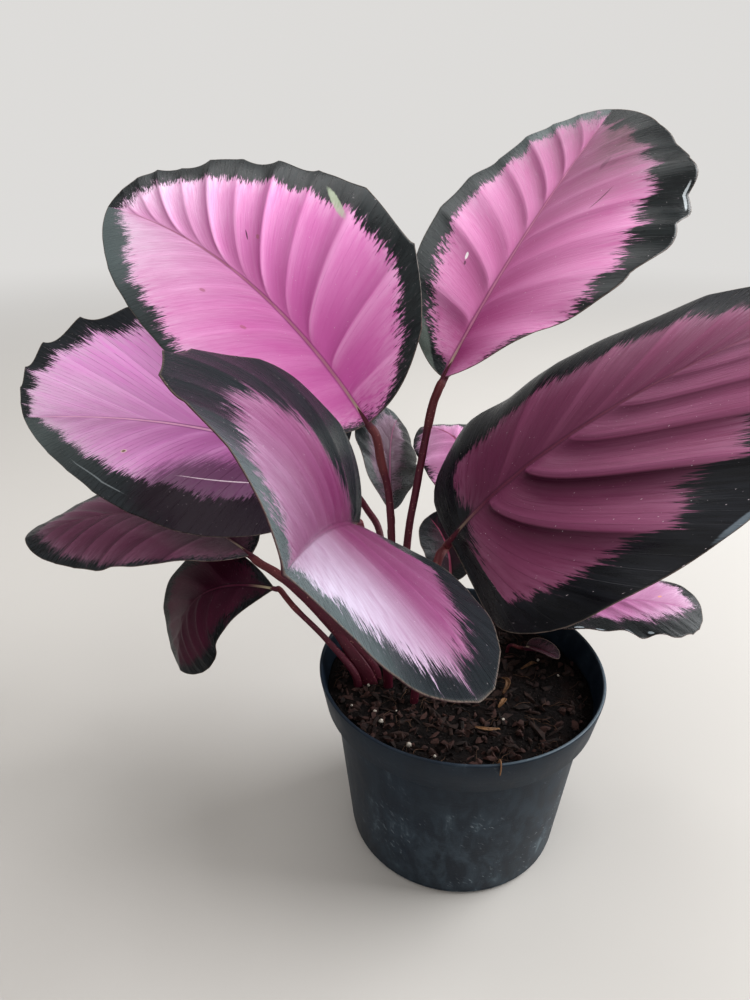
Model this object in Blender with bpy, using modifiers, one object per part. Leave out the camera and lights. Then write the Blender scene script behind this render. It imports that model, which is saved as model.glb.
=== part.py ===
"""Potted pink star calathea: waved leaves on maroon stems, a plug of soil and a round nursery pot.

Metres, +Z up. The origin is the middle of the pot's flat underside, and -Y is the front.
"""

import random
from math import cos, pi, radians, sin

import bmesh
import bpy
import numpy as np
from mathutils import Vector, noise

MM = 0.001

# Pot
POT_HEIGHT = 0.085
RIM_RADIUS = 0.060
SKIRT_HEIGHT = 0.0155
SKIRT_RADIUS = 0.0573
BODY_TOP_RADIUS = 0.0534
BODY_BASE_RADIUS = 0.046
WALL = 0.0012
FLOOR = 0.0022
POT_STEPS = 48
NOTCH_COUNT = 6
NOTCH_WIDTH = 0.018
NOTCH_HEIGHT = 0.0011
DRAIN_RADIUS = 0.0032
DRAIN_RING = 0.036
NOTCH_INNER = DRAIN_RING - 0.005
NOTCH_OUTER = BODY_BASE_RADIUS + 0.002
POT_COLOUR = (0.022, 0.028, 0.035)

# Soil
SOIL_TOP = 0.0745
SOIL_SWELL = 0.0012
SOIL_STEPS = 40
CHIP_COUNT = 46
CHIP_REACH = 0.051
CHIP_CLEAR_OF_STEM = 4.5
HUSKS = ((18.5, -4, 7, 1.2), (16.5, -16, 6, 0.5))
HOLE_FLOOR = 0.0615
HOLE_TOP = 0.095
SOIL_COLOUR = (0.045, 0.026, 0.019)
GAP = 0.0003

# Leaves and stems
BLADE = 0.0008
RIB = 0.0019
NARROW_RIB = 0.0013
STEM_TO_BLADE = 0.0010
STEM_FOOT = 0.062
STEM_STRAIGHT = 0.0795
STEM_RADIUS = 0.0015
ROW_CLOSE_TO_END = (0.012, 0.035)
COLUMNS = (0.0, 0.09, 0.36, 0.66, 1.0)
PLEAT_DEPTH = 0.009
PLEAT_FULL_AT = 0.3
SCALLOP_DEPTH = 0.006

# Each leaf in millimetres and degrees. face is the azimuth and elevation that its upper side looks to,
# rise and bow bend the midrib up and to the right, and lean moves that bend along it. Each half has its share
# of the width, its fold at the base and at the tip, and its roll from midrib to edge at base and tip.
LEAVES = {
    "upper_left": dict(
        base=(-40, 21, 184), tip=(-153, 86, 259), width=107, face=(-104, 31),
        rise=4, bow=13, lean=0.06, twist=4, widest=0.49, sweep=0.60, veins=9, hue=0,
        left=(0.82, 11, 3, -2, -4), right=(1.18, 23, -11, -7, -54)),
    "upper_right": dict(
        base=(-10, 32, 200), tip=(68, 118, 299), width=103, face=(-125, 43),
        rise=3, bow=-1.5, lean=-0.10, twist=-3, widest=0.57, sweep=0.57, veins=9, hue=1,
        left=(0.88, 12, 1, 21, -24), right=(1.12, 26, 4, -26, -33)),
    "right": dict(
        base=(-7, 4, 141), tip=(116, -5, 237), width=108, face=(-87, 45),
        rise=23, bow=-5, lean=-0.09, twist=-8, widest=0.36, sweep=0.58, veins=9, hue=2,
        left=(0.88, -3, -4, -62, -76), right=(1.12, 10, 4, 31, -24)),
    "left": dict(
        base=(-57, 60, 146), tip=(-198, 66, 170), width=98, face=(-99, 22),
        rise=16, bow=10, lean=-0.15, twist=-14, widest=0.43, sweep=0.56, veins=9, hue=0,
        left=(0.96, 20, -10, 0, 0), right=(1.10, 2, 4, -4, 0)),
    "front": dict(
        base=(-42, -45, 173), tip=(-49, -173, 231), width=97, face=(-71, 34),
        rise=0, bow=3, lean=0, twist=0, widest=0.57, sweep=0.72, veins=8, hue=0,
        left=(0.97, 33, 18, 20, -20), right=(1.03, 41, 18, -40, -83)),
    "lower_left": dict(
        base=(-93, 36, 116), tip=(-201, 50, 116), width=71, face=(-100, 77),
        rise=7, bow=16, lean=-0.02, twist=7, widest=0.54, sweep=0.60, veins=7, hue=2,
        left=(1.0, 13, -4, -18, -34), right=(1.0, 13, -11, -2, -18)),
    "drooping": dict(
        base=(-82, 28, 103), tip=(-133, 40, 48), width=55, face=(-105, 56),
        rise=14, bow=15, lean=-0.03, twist=5, widest=0.65, sweep=0.60, veins=6, hue=3,
        left=(0.98, 0, -7, -28, -30), right=(1.02, 4, -12, -16, 21)),
    "centre": dict(
        base=(-29, 52, 131), tip=(-25, 110, 156), width=43, face=(-55, 25),
        rise=7, bow=-9, lean=-0.02, twist=2, widest=0.56, sweep=0.60, veins=6, hue=1,
        left=(1.0, 12, 2, -13, -20), right=(1.0, -1, 0, -12, -20)),
    "back": dict(
        base=(11, 56, 132), tip=(-15, 90, 158), width=43, face=(-73, 43),
        rise=15, bow=4, lean=0, twist=5, widest=0.45, sweep=0.60, veins=6, hue=0,
        left=(1.0, 3, -9, -15, -27), right=(1.0, 2, -14, -19, -28)),
    "low_right": dict(
        base=(34, 24, 92), tip=(114, 31, 90), width=52, face=(-90, 86),
        rise=6, bow=-3, lean=0, twist=13, widest=0.52, sweep=0.62, veins=7, hue=1,
        left=(0.99, -6, 15, -40, -60), right=(1.01, 3, 2, 22, 2)),
    "hidden": dict(
        base=(-4, 21, 112), tip=(-13, 42, 133), width=24, face=(-80, 10),
        rise=3, bow=3, lean=0, twist=0, widest=0.50, sweep=0.60, veins=4, hue=3,
        left=(1.0, 20, 10, 10, 10), right=(1.0, 20, 10, 10, 10)),
    "young": dict(
        base=(31, 16, 81), tip=(43, 4, 84), width=10, face=(-60, 50),
        rise=1.5, bow=0, lean=0, twist=0, widest=0.45, sweep=0.50, veins=3, hue=3,
        left=(1.0, 25, 20, 40, 30), right=(1.0, 25, 20, 40, 30)),
}

# Each stem in millimetres: where it leaves the soil, its radius there, and the points that it bends through.
STEMS = {
    "upper_left": dict(crown=(-31, 4), foot=1.9, through=[(-30, 8, 130), (-31.4, 14, 156), (-34.5, 17, 169)]),
    "upper_right": dict(
        crown=(-26, 6), foot=2.0, through=[(-23.7, 12, 134), (-20.3, 18, 157), (-15, 27, 186)]),
    "right": dict(crown=(-20, -14.5), foot=1.8, through=[(-15.4, -6, 115), (-11.8, 0, 134)]),
    "left": dict(crown=(-36.5, 10), foot=1.9, through=[(-34, 30, 124), (-41, 44, 136)]),
    "front": dict(crown=(-31, -5), foot=2.0, through=[(-34, -12, 112), (-40, -30, 150)]),
    "lower_left": dict(crown=(-37.5, 1), foot=3.1, through=[(-50, 6, 93), (-66, 17, 105), (-80, 26, 112)]),
    "drooping": dict(crown=(-44.5, -4), foot=1.9, through=[(-57, 4, 92), (-70, 14, 98)]),
    "centre": dict(crown=(-31, 11.5), foot=1.7, through=[(-28, 26, 106), (-30, 40, 125)]),
    "back": dict(crown=(-20.5, 9.5), foot=1.7, through=[(-8, 26, 104), (7, 44, 126)]),
    "low_right": dict(crown=(-14, 12), foot=1.8, through=[(2, 17, 90), (22, 21, 92)]),
    "hidden": dict(crown=(-25, 13), foot=1.5, through=[(-12, 17, 100)]),
    "young": dict(crown=(24.5, 22), foot=1.3, through=[]),
}

BLADE_COLOURS = ((0.56, 0.17, 0.38), (0.45, 0.10, 0.27), (0.21, 0.05, 0.11), (0.10, 0.025, 0.05))


def clear_scene():
    for obj in list(bpy.data.objects):
        bpy.data.objects.remove(obj, do_unlink=True)


def new_collection(name, helpers=False):
    group = bpy.data.collections.new(name)
    bpy.context.scene.collection.children.link(group)
    group.hide_render = helpers
    return group


def material(name, colour, roughness):
    mat = bpy.data.materials.new(name)
    mat.use_nodes = True
    shader = mat.node_tree.nodes["Principled BSDF"]
    shader.inputs["Base Color"].default_value = (*colour, 1)
    shader.inputs["Roughness"].default_value = roughness
    mat.diffuse_color = (*colour, 1)
    return mat


def add_object(name, data, group, mat=None):
    obj = bpy.data.objects.new(name, data)
    group.objects.link(obj)
    if mat:
        data.materials.append(mat)
    return obj


def add_helper(name, data, group):
    obj = add_object(name, data, group)
    obj.hide_render = True
    obj.display_type = "WIRE"
    return obj


def apply_modifiers(obj):
    """The object keeps its evaluated mesh and loses its modifiers."""
    graph = bpy.context.evaluated_depsgraph_get()
    made = bpy.data.meshes.new_from_object(obj.evaluated_get(graph))
    old = obj.data
    obj.modifiers.clear()
    obj.data = made
    bpy.data.meshes.remove(old)


def smooth(obj, angle=40):
    obj.data.shade_smooth()
    obj.data.set_sharp_from_angle(angle=radians(angle))


def turned(name, profile, steps, group, mat=None):
    """A closed solid turned from (radius, height) points that run down its outer side from axis to axis."""
    mesh = bpy.data.meshes.new(name)
    points = [(r, 0, z) for r, z in profile]
    mesh.from_pydata(points, [(i, i + 1) for i in range(len(points) - 1)], [])
    obj = add_object(name, mesh, group, mat)
    screw = obj.modifiers.new("Turn", "SCREW")
    screw.axis = "Z"
    screw.steps = screw.render_steps = steps
    screw.use_merge_vertices = True
    screw.merge_threshold = 0.00001
    screw.use_smooth_shade = True
    return obj


def cylinder_cutter(name, x, y, bottom, top, radius, group, sides=16):
    mesh = bpy.data.meshes.new(name)
    bm = bmesh.new()
    bmesh.ops.create_cone(bm, cap_ends=True, segments=sides, radius1=radius, radius2=radius,
                          depth=top - bottom)
    bm.to_mesh(mesh)
    bm.free()
    obj = add_helper(name, mesh, group)
    obj.location = (x, y, (top + bottom) / 2)
    return obj


def box_cutter(name, size, place, angle, group):
    mesh = bpy.data.meshes.new(name)
    bm = bmesh.new()
    bmesh.ops.create_cube(bm, size=1)
    bmesh.ops.scale(bm, vec=size, verts=bm.verts)
    bm.to_mesh(mesh)
    bm.free()
    obj = add_helper(name, mesh, group)
    obj.location = place
    obj.rotation_euler = (0, 0, angle)
    return obj


def cut(obj, cutters, operation="DIFFERENCE", solver="EXACT"):
    boolean = obj.modifiers.new(operation.title(), "BOOLEAN")
    boolean.operation = operation
    boolean.operand_type = "COLLECTION"
    boolean.collection = cutters
    boolean.solver = solver
    return boolean


# Pot


def pot_profile():
    """The outer side, then the inner side, with the wall's step under the rim's skirt."""
    skirt = POT_HEIGHT - SKIRT_HEIGHT
    return [
        (0, FLOOR),
        (BODY_BASE_RADIUS - WALL - 0.003, FLOOR),
        (BODY_BASE_RADIUS - WALL - 0.0005, FLOOR + 0.002),
        (BODY_TOP_RADIUS - WALL, skirt - 0.001),
        (SKIRT_RADIUS - WALL, skirt + 0.0016),
        (RIM_RADIUS - WALL - 0.0006, POT_HEIGHT - 0.0006),
        (RIM_RADIUS - WALL, POT_HEIGHT),
        (RIM_RADIUS - 0.0003, POT_HEIGHT),
        (RIM_RADIUS, POT_HEIGHT - 0.0004),
        (RIM_RADIUS - 0.0002, POT_HEIGHT - 0.0018),
        (SKIRT_RADIUS + 0.0001, skirt + 0.0008),
        (SKIRT_RADIUS - 0.0006, skirt),
        (BODY_TOP_RADIUS + 0.0008, skirt),
        (BODY_TOP_RADIUS, skirt - 0.0008),
        (BODY_BASE_RADIUS + 0.0004, 0.003),
        (BODY_BASE_RADIUS - 0.0012, 0.0005),
        (BODY_BASE_RADIUS - 0.0025, 0),
        (0, 0),
    ]


def make_pot(parts):
    pot = turned("pot", pot_profile(), POT_STEPS, parts, material("pot plastic", POT_COLOUR, 0.42))
    cuts = new_collection("pot cutters", helpers=True)
    for i in range(NOTCH_COUNT):
        angle = 2 * pi * (i + 0.25) / NOTCH_COUNT
        middle = (NOTCH_INNER + NOTCH_OUTER) / 2
        box_cutter(f"notch {i}", (NOTCH_OUTER - NOTCH_INNER, NOTCH_WIDTH, 2 * NOTCH_HEIGHT),
                   (middle * cos(angle), middle * sin(angle), 0), angle, cuts)
        cylinder_cutter(f"drain {i}", DRAIN_RING * cos(angle), DRAIN_RING * sin(angle),
                        NOTCH_HEIGHT / 2, 2 * FLOOR, DRAIN_RADIUS, cuts, sides=12)
    cut(pot, cuts)
    return pot


# Soil


def soil_height(x, y):
    """The uneven top of the soil: lumps, higher at the front left and sunk towards the right wall."""
    lumps = noise.noise(Vector((x * 90, y * 90, 3.1))) + 0.6 * noise.noise(Vector((x * 190, y * 190, 7.7)))
    return SOIL_TOP + SOIL_SWELL * lumps - 0.02 * x - 0.018 * y


def soil_profile():
    skirt = POT_HEIGHT - SKIRT_HEIGHT
    inner_base = BODY_BASE_RADIUS - WALL
    ledge = (SKIRT_RADIUS - WALL - GAP, skirt + 0.0020)
    slope = (RIM_RADIUS - 0.0006 - SKIRT_RADIUS) / (SKIRT_HEIGHT - 0.0022)
    top_radius = ledge[0] + slope * (SOIL_TOP - ledge[1]) - 0.0002
    rings = [(top_radius * share, SOIL_TOP) for share in (0, 0.2, 0.4, 0.6, 0.8, 0.94)]
    return rings + [
        (top_radius, SOIL_TOP - 0.0016),
        (ledge[0] - 0.0001, ledge[1] + 0.0003),
        (BODY_TOP_RADIUS - WALL - GAP - 0.0002, skirt - 0.0004),
        (inner_base - 0.0005 - GAP - 0.0002, FLOOR + 0.0024),
        (inner_base - 0.003 - GAP, FLOOR + GAP),
        (0, FLOOR + GAP),
    ]


def chip_mesh(draw, size):
    mesh = bpy.data.meshes.new("chip")
    bm = bmesh.new()
    bmesh.ops.create_icosphere(bm, subdivisions=1, radius=1)
    for vert in bm.verts:
        vert.co *= draw.uniform(0.75, 1.2)
    bmesh.ops.scale(bm, vec=size, verts=bm.verts)
    bm.to_mesh(mesh)
    bm.free()
    return mesh


def make_soil(parts):
    draw = random.Random(11)
    soil = turned("soil", soil_profile(), SOIL_STEPS, parts, material("soil", SOIL_COLOUR, 0.95))
    apply_modifiers(soil)
    for vert in soil.data.vertices:
        if vert.co.z > SOIL_TOP - 0.0001:
            vert.co.z = soil_height(vert.co.x, vert.co.y)
    chips = new_collection("soil chips", helpers=True)
    turn = pi * (3 - 5 ** 0.5)
    crowns = [stem["crown"] for stem in STEMS.values()]
    for i in range(CHIP_COUNT):
        reach = CHIP_REACH * ((i + 0.6) / CHIP_COUNT) ** 0.5
        x, y = reach * cos(i * turn), reach * sin(i * turn)
        if any(Vector((x / MM - cx, y / MM - cy)).length < CHIP_CLEAR_OF_STEM for cx, cy in crowns):
            continue
        coarse = 1.25 if x - y < 0.01 or y < -0.02 else 0.8
        size = [coarse * MM * draw.uniform(*limits) for limits in ((2.2, 3.8), (1.6, 2.6), (1.0, 1.6))]
        obj = add_helper(f"chip {i}", chip_mesh(draw, size), chips)
        obj.location = (x, y, soil_height(x, y) - size[2] * 0.1)
        obj.rotation_euler = (draw.uniform(-0.5, 0.5), draw.uniform(-0.5, 0.5), draw.uniform(0, pi))
    for i, (x, y, length, angle) in enumerate(HUSKS):
        obj = add_helper(f"husk {i}", chip_mesh(draw, (length * MM, 2.2 * MM, 1.8 * MM)), chips)
        obj.location = (x * MM, y * MM, soil_height(x * MM, y * MM) + 0.0005)
        obj.rotation_euler = (0, 0.2, angle)
    cut(soil, chips, "UNION")
    apply_modifiers(soil)
    for obj in list(chips.objects):
        bpy.data.objects.remove(obj)
    holes = new_collection("stem holes", helpers=True)
    for name, stem in STEMS.items():
        x, y = stem["crown"]
        radius = stem["foot"] * MM + GAP
        cylinder_cutter(f"hole {name}", x * MM, y * MM, HOLE_FLOOR, HOLE_TOP, radius, holes, sides=12)
    cut(soil, holes)
    return soil


# Leaves


def unit(vector):
    return vector / np.linalg.norm(vector, axis=-1, keepdims=True)


def facing(azimuth, elevation):
    a, e = radians(azimuth), radians(elevation)
    return np.array([cos(e) * cos(a), cos(e) * sin(a), sin(e)])


class Blade:
    """The upper surface of a leaf as a formula of v, from base to tip, and t, from left edge to right."""

    def __init__(self, leaf):
        self.leaf = leaf
        base, tip = np.array(leaf["base"]) * MM, np.array(leaf["tip"]) * MM
        chord = tip - base
        face = facing(*leaf["face"])
        self.face = unit(face - unit(chord) * (face @ unit(chord)))
        side = np.cross(unit(chord), self.face)
        bend = base + chord * (0.5 + leaf["lean"]) + 2 * MM * (self.face * leaf["rise"] + side * leaf["bow"])
        u = np.linspace(0, 1, 200)[:, None]
        self.midrib = (1 - u) ** 2 * base + 2 * u * (1 - u) * bend + u ** 2 * tip
        steps = np.linalg.norm(np.diff(self.midrib, axis=0), axis=1)
        self.shares = np.append(0, np.cumsum(steps)) / steps.sum()
        self.ahead = unit(np.gradient(self.midrib, axis=0))

    def along(self, rows, s):
        return np.stack([np.interp(s, self.shares, rows[:, k]) for k in range(3)], axis=-1)

    def half_width(self, s):
        """Share of the full half width: round at the base and blunt at the tip."""
        rise = 0.5 * self.leaf["widest"] / (1 - self.leaf["widest"])
        peak = self.leaf["widest"] ** rise * (1 - self.leaf["widest"]) ** 0.5
        return s ** rise * (1 - s) ** 0.5 / peak

    def points(self, v, t):
        leaf = self.leaf
        on_left, out = t < 0, np.abs(t)
        edge_s = v + leaf["sweep"] * v * (1 - v)
        s = v + (edge_s - v) * out ** 1.5
        share, fold_base, fold_tip, roll_base, roll_tip = (
            np.where(on_left, a, b) for a, b in zip(leaf["left"], leaf["right"]))
        full = leaf["width"] * MM / 2 * share
        width = self.half_width(edge_s)
        reach = full * width * out
        ahead = unit(self.along(self.ahead, s))
        up = unit(self.face - ahead * (ahead @ self.face)[..., None])
        side = np.cross(ahead, up)
        spin = np.radians(leaf["twist"]) * s[..., None]
        up, side = up * np.cos(spin) + side * np.sin(spin), side * np.cos(spin) - up * np.sin(spin)
        fold = np.radians(fold_base + (fold_tip - fold_base) * s)
        roll = np.radians(roll_base + (roll_tip - roll_base) * s) / full
        roll = np.where(np.abs(roll) < 0.01, 0.01, roll)
        across = (np.sin(fold + roll * reach) - np.sin(fold)) / roll
        lift = (np.cos(fold) - np.cos(fold + roll * reach)) / roll
        sign = np.where(on_left, -1.0, 1.0)
        tilt = fold + roll * reach
        normal = up * np.cos(tilt)[..., None] - side * (sign * np.sin(tilt))[..., None]
        phase = np.where(on_left, 0.0, pi)
        wave = np.cos(2 * pi * leaf["veins"] * v + phase)
        pleat = PLEAT_DEPTH * np.minimum(1, out / PLEAT_FULL_AT) * (0.35 + 0.65 * width)
        depth = leaf["width"] * MM * (pleat + SCALLOP_DEPTH * out ** 4)
        place = self.along(self.midrib, s) + side * (sign * across)[..., None] + up * lift[..., None]
        return place + normal * (depth * wave)[..., None]


def rib_depth(leaf):
    return RIB if leaf["width"] > 60 else NARROW_RIB


def blade_rows(veins):
    """Rows at every crest and valley of the waves, and closer rows where the outline rounds in."""
    near = list(ROW_CLOSE_TO_END)
    between = [k / (2 * veins) for k in range(1, 2 * veins)]
    return [0] + near + between + [1 - n for n in reversed(near)] + [1]


def make_blade(name, leaf, parts):
    rows = blade_rows(leaf["veins"])
    columns = [-c for c in reversed(COLUMNS[1:])] + list(COLUMNS)
    mesh = bpy.data.meshes.new(f"leaf_{name}")
    bm = bmesh.new()
    bmesh.ops.create_grid(bm, x_segments=len(columns) - 1, y_segments=len(rows) - 1, size=1)
    bm.verts.ensure_lookup_table()
    column = [round((vert.co.x + 1) / 2 * (len(columns) - 1)) for vert in bm.verts]
    row = [round((vert.co.y + 1) / 2 * (len(rows) - 1)) for vert in bm.verts]
    t = np.array([columns[i] for i in column])
    v = np.array([rows[i] for i in row])
    rib = bm.verts.layers.deform.verify()
    for vert, place, share, turn in zip(bm.verts, Blade(leaf).points(v, t), v, t):
        vert.co = place
        vert[rib][0] = (1 - share) ** 0.7 if turn == 0 else 0
    bmesh.ops.remove_doubles(bm, verts=bm.verts, dist=0.00002)
    bmesh.ops.triangulate(bm, faces=bm.faces)
    bm.to_mesh(mesh)
    bm.free()
    colour = BLADE_COLOURS[leaf["hue"]]
    obj = add_object(f"leaf_{name}", mesh, parts, material(f"leaf {name}", colour, 0.35))
    obj.vertex_groups.new(name="rib")
    shell = obj.modifiers.new("Thickness", "SOLIDIFY")
    shell.thickness = rib_depth(leaf)
    shell.offset = -1
    shell.vertex_group = "rib"
    shell.thickness_vertex_group = BLADE / rib_depth(leaf)
    smooth(obj, 60)
    return obj


def spline_through(points, per_span):
    """A smooth line through the points."""
    points = [2 * points[0] - points[1]] + list(points) + [2 * points[-1] - points[-2]]
    line = []
    for a, b, c, d in zip(points, points[1:], points[2:], points[3:]):
        for i in range(per_span):
            u = i / per_span
            line.append(0.5 * (2 * b + (c - a) * u + (2 * a - 5 * b + 4 * c - d) * u ** 2
                               + (3 * b - a - 3 * c + d) * u ** 3))
    return line + [points[-2]]


def stem_line(leaf, stem):
    """From the foot of its hole in the soil to just behind the blade, where it runs on into the midrib."""
    blade = Blade(leaf)
    ahead = blade.ahead[0]
    under = unit(blade.face - ahead * (blade.face @ ahead))
    end = blade.midrib[0] - under * rib_depth(leaf) / 2 - ahead * STEM_TO_BLADE
    lead = end - ahead * (0.005 if stem["through"] else 0.003)
    x, y = (value * MM for value in stem["crown"])
    foot = np.array([x, y, STEM_FOOT])
    collar = np.array([x, y, STEM_STRAIGHT if stem["through"] else 0.0765])
    through = [np.array(point) * MM for point in stem["through"]]
    line = spline_through([collar] + through + [lead], 3)
    return [foot] + line + [end]


def make_stem(name, leaf, stem, parts):
    line = stem_line(leaf, stem)
    curve = bpy.data.curves.new(f"stem_{name}", "CURVE")
    curve.dimensions = "3D"
    curve.bevel_depth = STEM_RADIUS
    curve.bevel_resolution = 2
    curve.use_fill_caps = True
    spline = curve.splines.new("POLY")
    spline.points.add(len(line) - 1)
    steps = [0] + [float(np.linalg.norm(b - a)) for a, b in zip(line, line[1:])]
    run, whole = 0, sum(steps)
    foot = stem["foot"] * MM / STEM_RADIUS
    top = min(foot, 1 if leaf["width"] > 60 else 0.8 if leaf["width"] > 30 else 0.5)
    for point, place, step in zip(spline.points, line, steps):
        run += step
        share = run / whole
        point.co = (*place, 1)
        point.radius = foot + (top - foot) * min(1, max(0, share - 0.12) / 0.5)
    spline.use_smooth = True
    return add_object(f"stem_{name}", curve, parts, material(f"stem {name}", (0.09, 0.017, 0.027), 0.4))


def main():
    clear_scene()
    parts = new_collection("potted pink star calathea")
    make_pot(parts)
    make_soil(parts)
    for name, leaf in LEAVES.items():
        make_blade(name, leaf, parts)
        make_stem(name, leaf, STEMS[name], parts)


main()
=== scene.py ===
"""Looks of the potted pink star calathea: pleated pink leaves, maroon stems, chunky soil and a nursery pot.

Metres, +Z up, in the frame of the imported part. -Y is the front.
"""

import random
from functools import partialmethod
from math import cos, pi, radians, sin
from types import SimpleNamespace

import bmesh
import bpy
import numpy as np
from mathutils import Matrix, Vector, noise


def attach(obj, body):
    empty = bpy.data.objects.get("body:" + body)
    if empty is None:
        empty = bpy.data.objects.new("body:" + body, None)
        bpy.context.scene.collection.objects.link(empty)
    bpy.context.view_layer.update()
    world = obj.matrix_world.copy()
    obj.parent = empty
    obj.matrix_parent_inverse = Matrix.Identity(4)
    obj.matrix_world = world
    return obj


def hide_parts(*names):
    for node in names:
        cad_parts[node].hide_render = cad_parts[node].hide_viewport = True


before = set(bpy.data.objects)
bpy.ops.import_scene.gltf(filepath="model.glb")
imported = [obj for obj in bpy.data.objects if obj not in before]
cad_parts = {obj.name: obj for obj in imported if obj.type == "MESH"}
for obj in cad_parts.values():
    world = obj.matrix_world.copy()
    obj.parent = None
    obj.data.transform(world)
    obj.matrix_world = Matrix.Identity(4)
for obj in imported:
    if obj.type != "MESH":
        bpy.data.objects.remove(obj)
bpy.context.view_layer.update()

MM = 0.001

# Camera, from the photograph's frame of 750 by 1000
FOCAL_PIXELS = 750
LONG_SIDE_PIXELS = 1000
SENSOR = 36
CAMERA_PLACE = (-0.037, -0.260, 0.283)
CAMERA_PITCH = 25.2
CAMERA_ROLL = 0.4

# Lights: name, azimuth, elevation, size, power and tint
LIGHTS = (
    ("key", 10, 36, 1.2, 33, (0.97, 0.985, 1.0)),
    ("overhead", 100, 66, 1.0, 7, (1.0, 1.0, 1.0)),
    ("fill", 250, 42, 2.8, 17, (1.0, 0.985, 0.975)),
)
LIGHT_TARGET = Vector((0, 0, 0.15))
LIGHT_DISTANCE = 1.5
WORLD_LIGHT = 0.36
BACKGROUND_LIGHT = 0.62
BACKGROUND_TINT = (1.0, 0.985, 0.965, 1)

# Pot
POT_HEIGHT = 0.085
RIM_RADIUS = 0.060
SKIRT_HEIGHT = 0.0155
SKIRT_FOOT = POT_HEIGHT - SKIRT_HEIGHT
SKIRT_RADIUS = 0.0573
BODY_TOP_RADIUS = 0.0534
BODY_BASE_RADIUS = 0.046
WALL = 0.0012
FLOOR = 0.0022
LIP = 0.0007
POT_STEPS = 192
NOTCH_COUNT = 6
NOTCH_WIDTH = 0.018
NOTCH_HEIGHT = 0.0011
NOTCH_END = 0.002
DRAIN_RADIUS = 0.0032
DRAIN_RING = 0.036

# Soil
SOIL_TOP = 0.0745
SOIL_SWELL = 0.0012
SOIL_RINGS = 84
SOIL_SECTORS = 210
SOIL_CRUMB = ((0.7, 420), (0.5, 900), (0.3, 2000))
CHIP_REACH = 0.0555
CRUMB_REACH = 0.0560

# Leaves
LARGE_LEAF = 60
BLADE = 0.00045
EDGE = 0.00025
ROWS_PER_VEIN = 15
HALF_COLUMNS = 34
OUTLINE_POINTS = 240
BATCH = 4000

# Stems. Each runs on under the midrib, at shares of its length and so many millimetres below it. NECKS is a
# leaf's least width in millimetres and its stem's radius under the blade.
STEM_TO_BLADE = 0.0010
STEM_FOOT = 62
STEM_SIDES = 20
STEM_STEPS = 14
SWOLLEN_LENGTH = 0.022
UNDER_MIDRIB = ((0.02, 1.0), (0.05, 1.05), (0.09, 1.25))
NECKS = ((LARGE_LEAF, 1.55), (30, 1.2), (0, 0.75))

# Each leaf in millimetres and degrees, pairs being its left and right halves. face is the azimuth and
# elevation that its upper side looks to, rise and bow bend the midrib up and to the right, and lean moves
# that bend along it. left and right are each half's share of the width, its fold at base and tip, and its
# roll from midrib to edge there. sweep is how far the side veins run forward, path the shape of their way
# out, onset where their full sweep begins, and offset a shift of the right half's veins. crests is how
# strong each vein is from the base on, ridge how high they stand, the painted vein shading how strong the
# painted shade on their steep side and the painted highlight on their lit side are, and ruffle the wave of
# the margin. hollow is where the hollow between two veins lies, and scallop how far the edge draws in
# there. margin is the dark edge's width at even places from base to tip, and steps how much it jumps at
# each vein.
# Colours are sRGB hex: the pink, where it is lit and in the depths, the margin's two greens and the midrib.
# The painted gloss and the sheen are a painted gloss over the pink, towards a colour of its own that is pale
# on most leaves and greyer on the upper right and right leaves, and a painted sheen on the margin, each from
# one v to another. shade deepens a half, pale and plum are the light and the purple feathering, the light one
# partly a painted sheen, lines the fine dark lines, ribbed the midrib, feather the fringe's depth and gloss
# the specular level. The marks are small spots and scratches, a few painted highlights and one painted shade:
# v, t, their half sizes there, slant, colour and strength.
# Of the stem, crown is where it leaves the soil, foot its radius there, collar the height that it rises
# straight to, through the points that it bends through, and lead its straight run before the blade. taper
# is where along it it thins, and flat how much it is flattened below.
USUAL = dict(
    rise=0, bow=0, lean=0, twist=0, sweep=(1, 1), path=(1, 1), onset=0.25, offset=0,
    crests=((0.6, 1, 0.7, 1, 0.6, 0.9, 0.6), (0.6, 1, 0.7, 1, 0.6, 0.9, 0.6)), ridge=(0.8, 0.8),
    painted_vein_shading=(0.15, 0.15), ruffle=(0.6, 0.6), hollow=(0.4, 0.6), scallop=(0.012, 0.012), steps=(0, 0),
    painted_gloss=(0, 0), painted_gloss_at=(0.3, 0.8), painted_gloss_tone="e9d2e6", pale=0.1, sheen=(0, 0), sheen_at=(0.3, 0.75),
    shade=(0, 0), lines=0.35, ribbed=0.8, plum=0.2, feather=1, gloss=0.25, green="20262a", rib="9c4a66",
    spots_and_painted_light=(),
    collar=79.5, taper=(0.08, 0.62), flat=0.08, lead=5, through=())


class Leaf(SimpleNamespace):
    """One leaf and its stem, with the usual values where it has none of its own."""

    def __init__(self, **own):
        super().__init__(**{**USUAL, **own})


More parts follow.
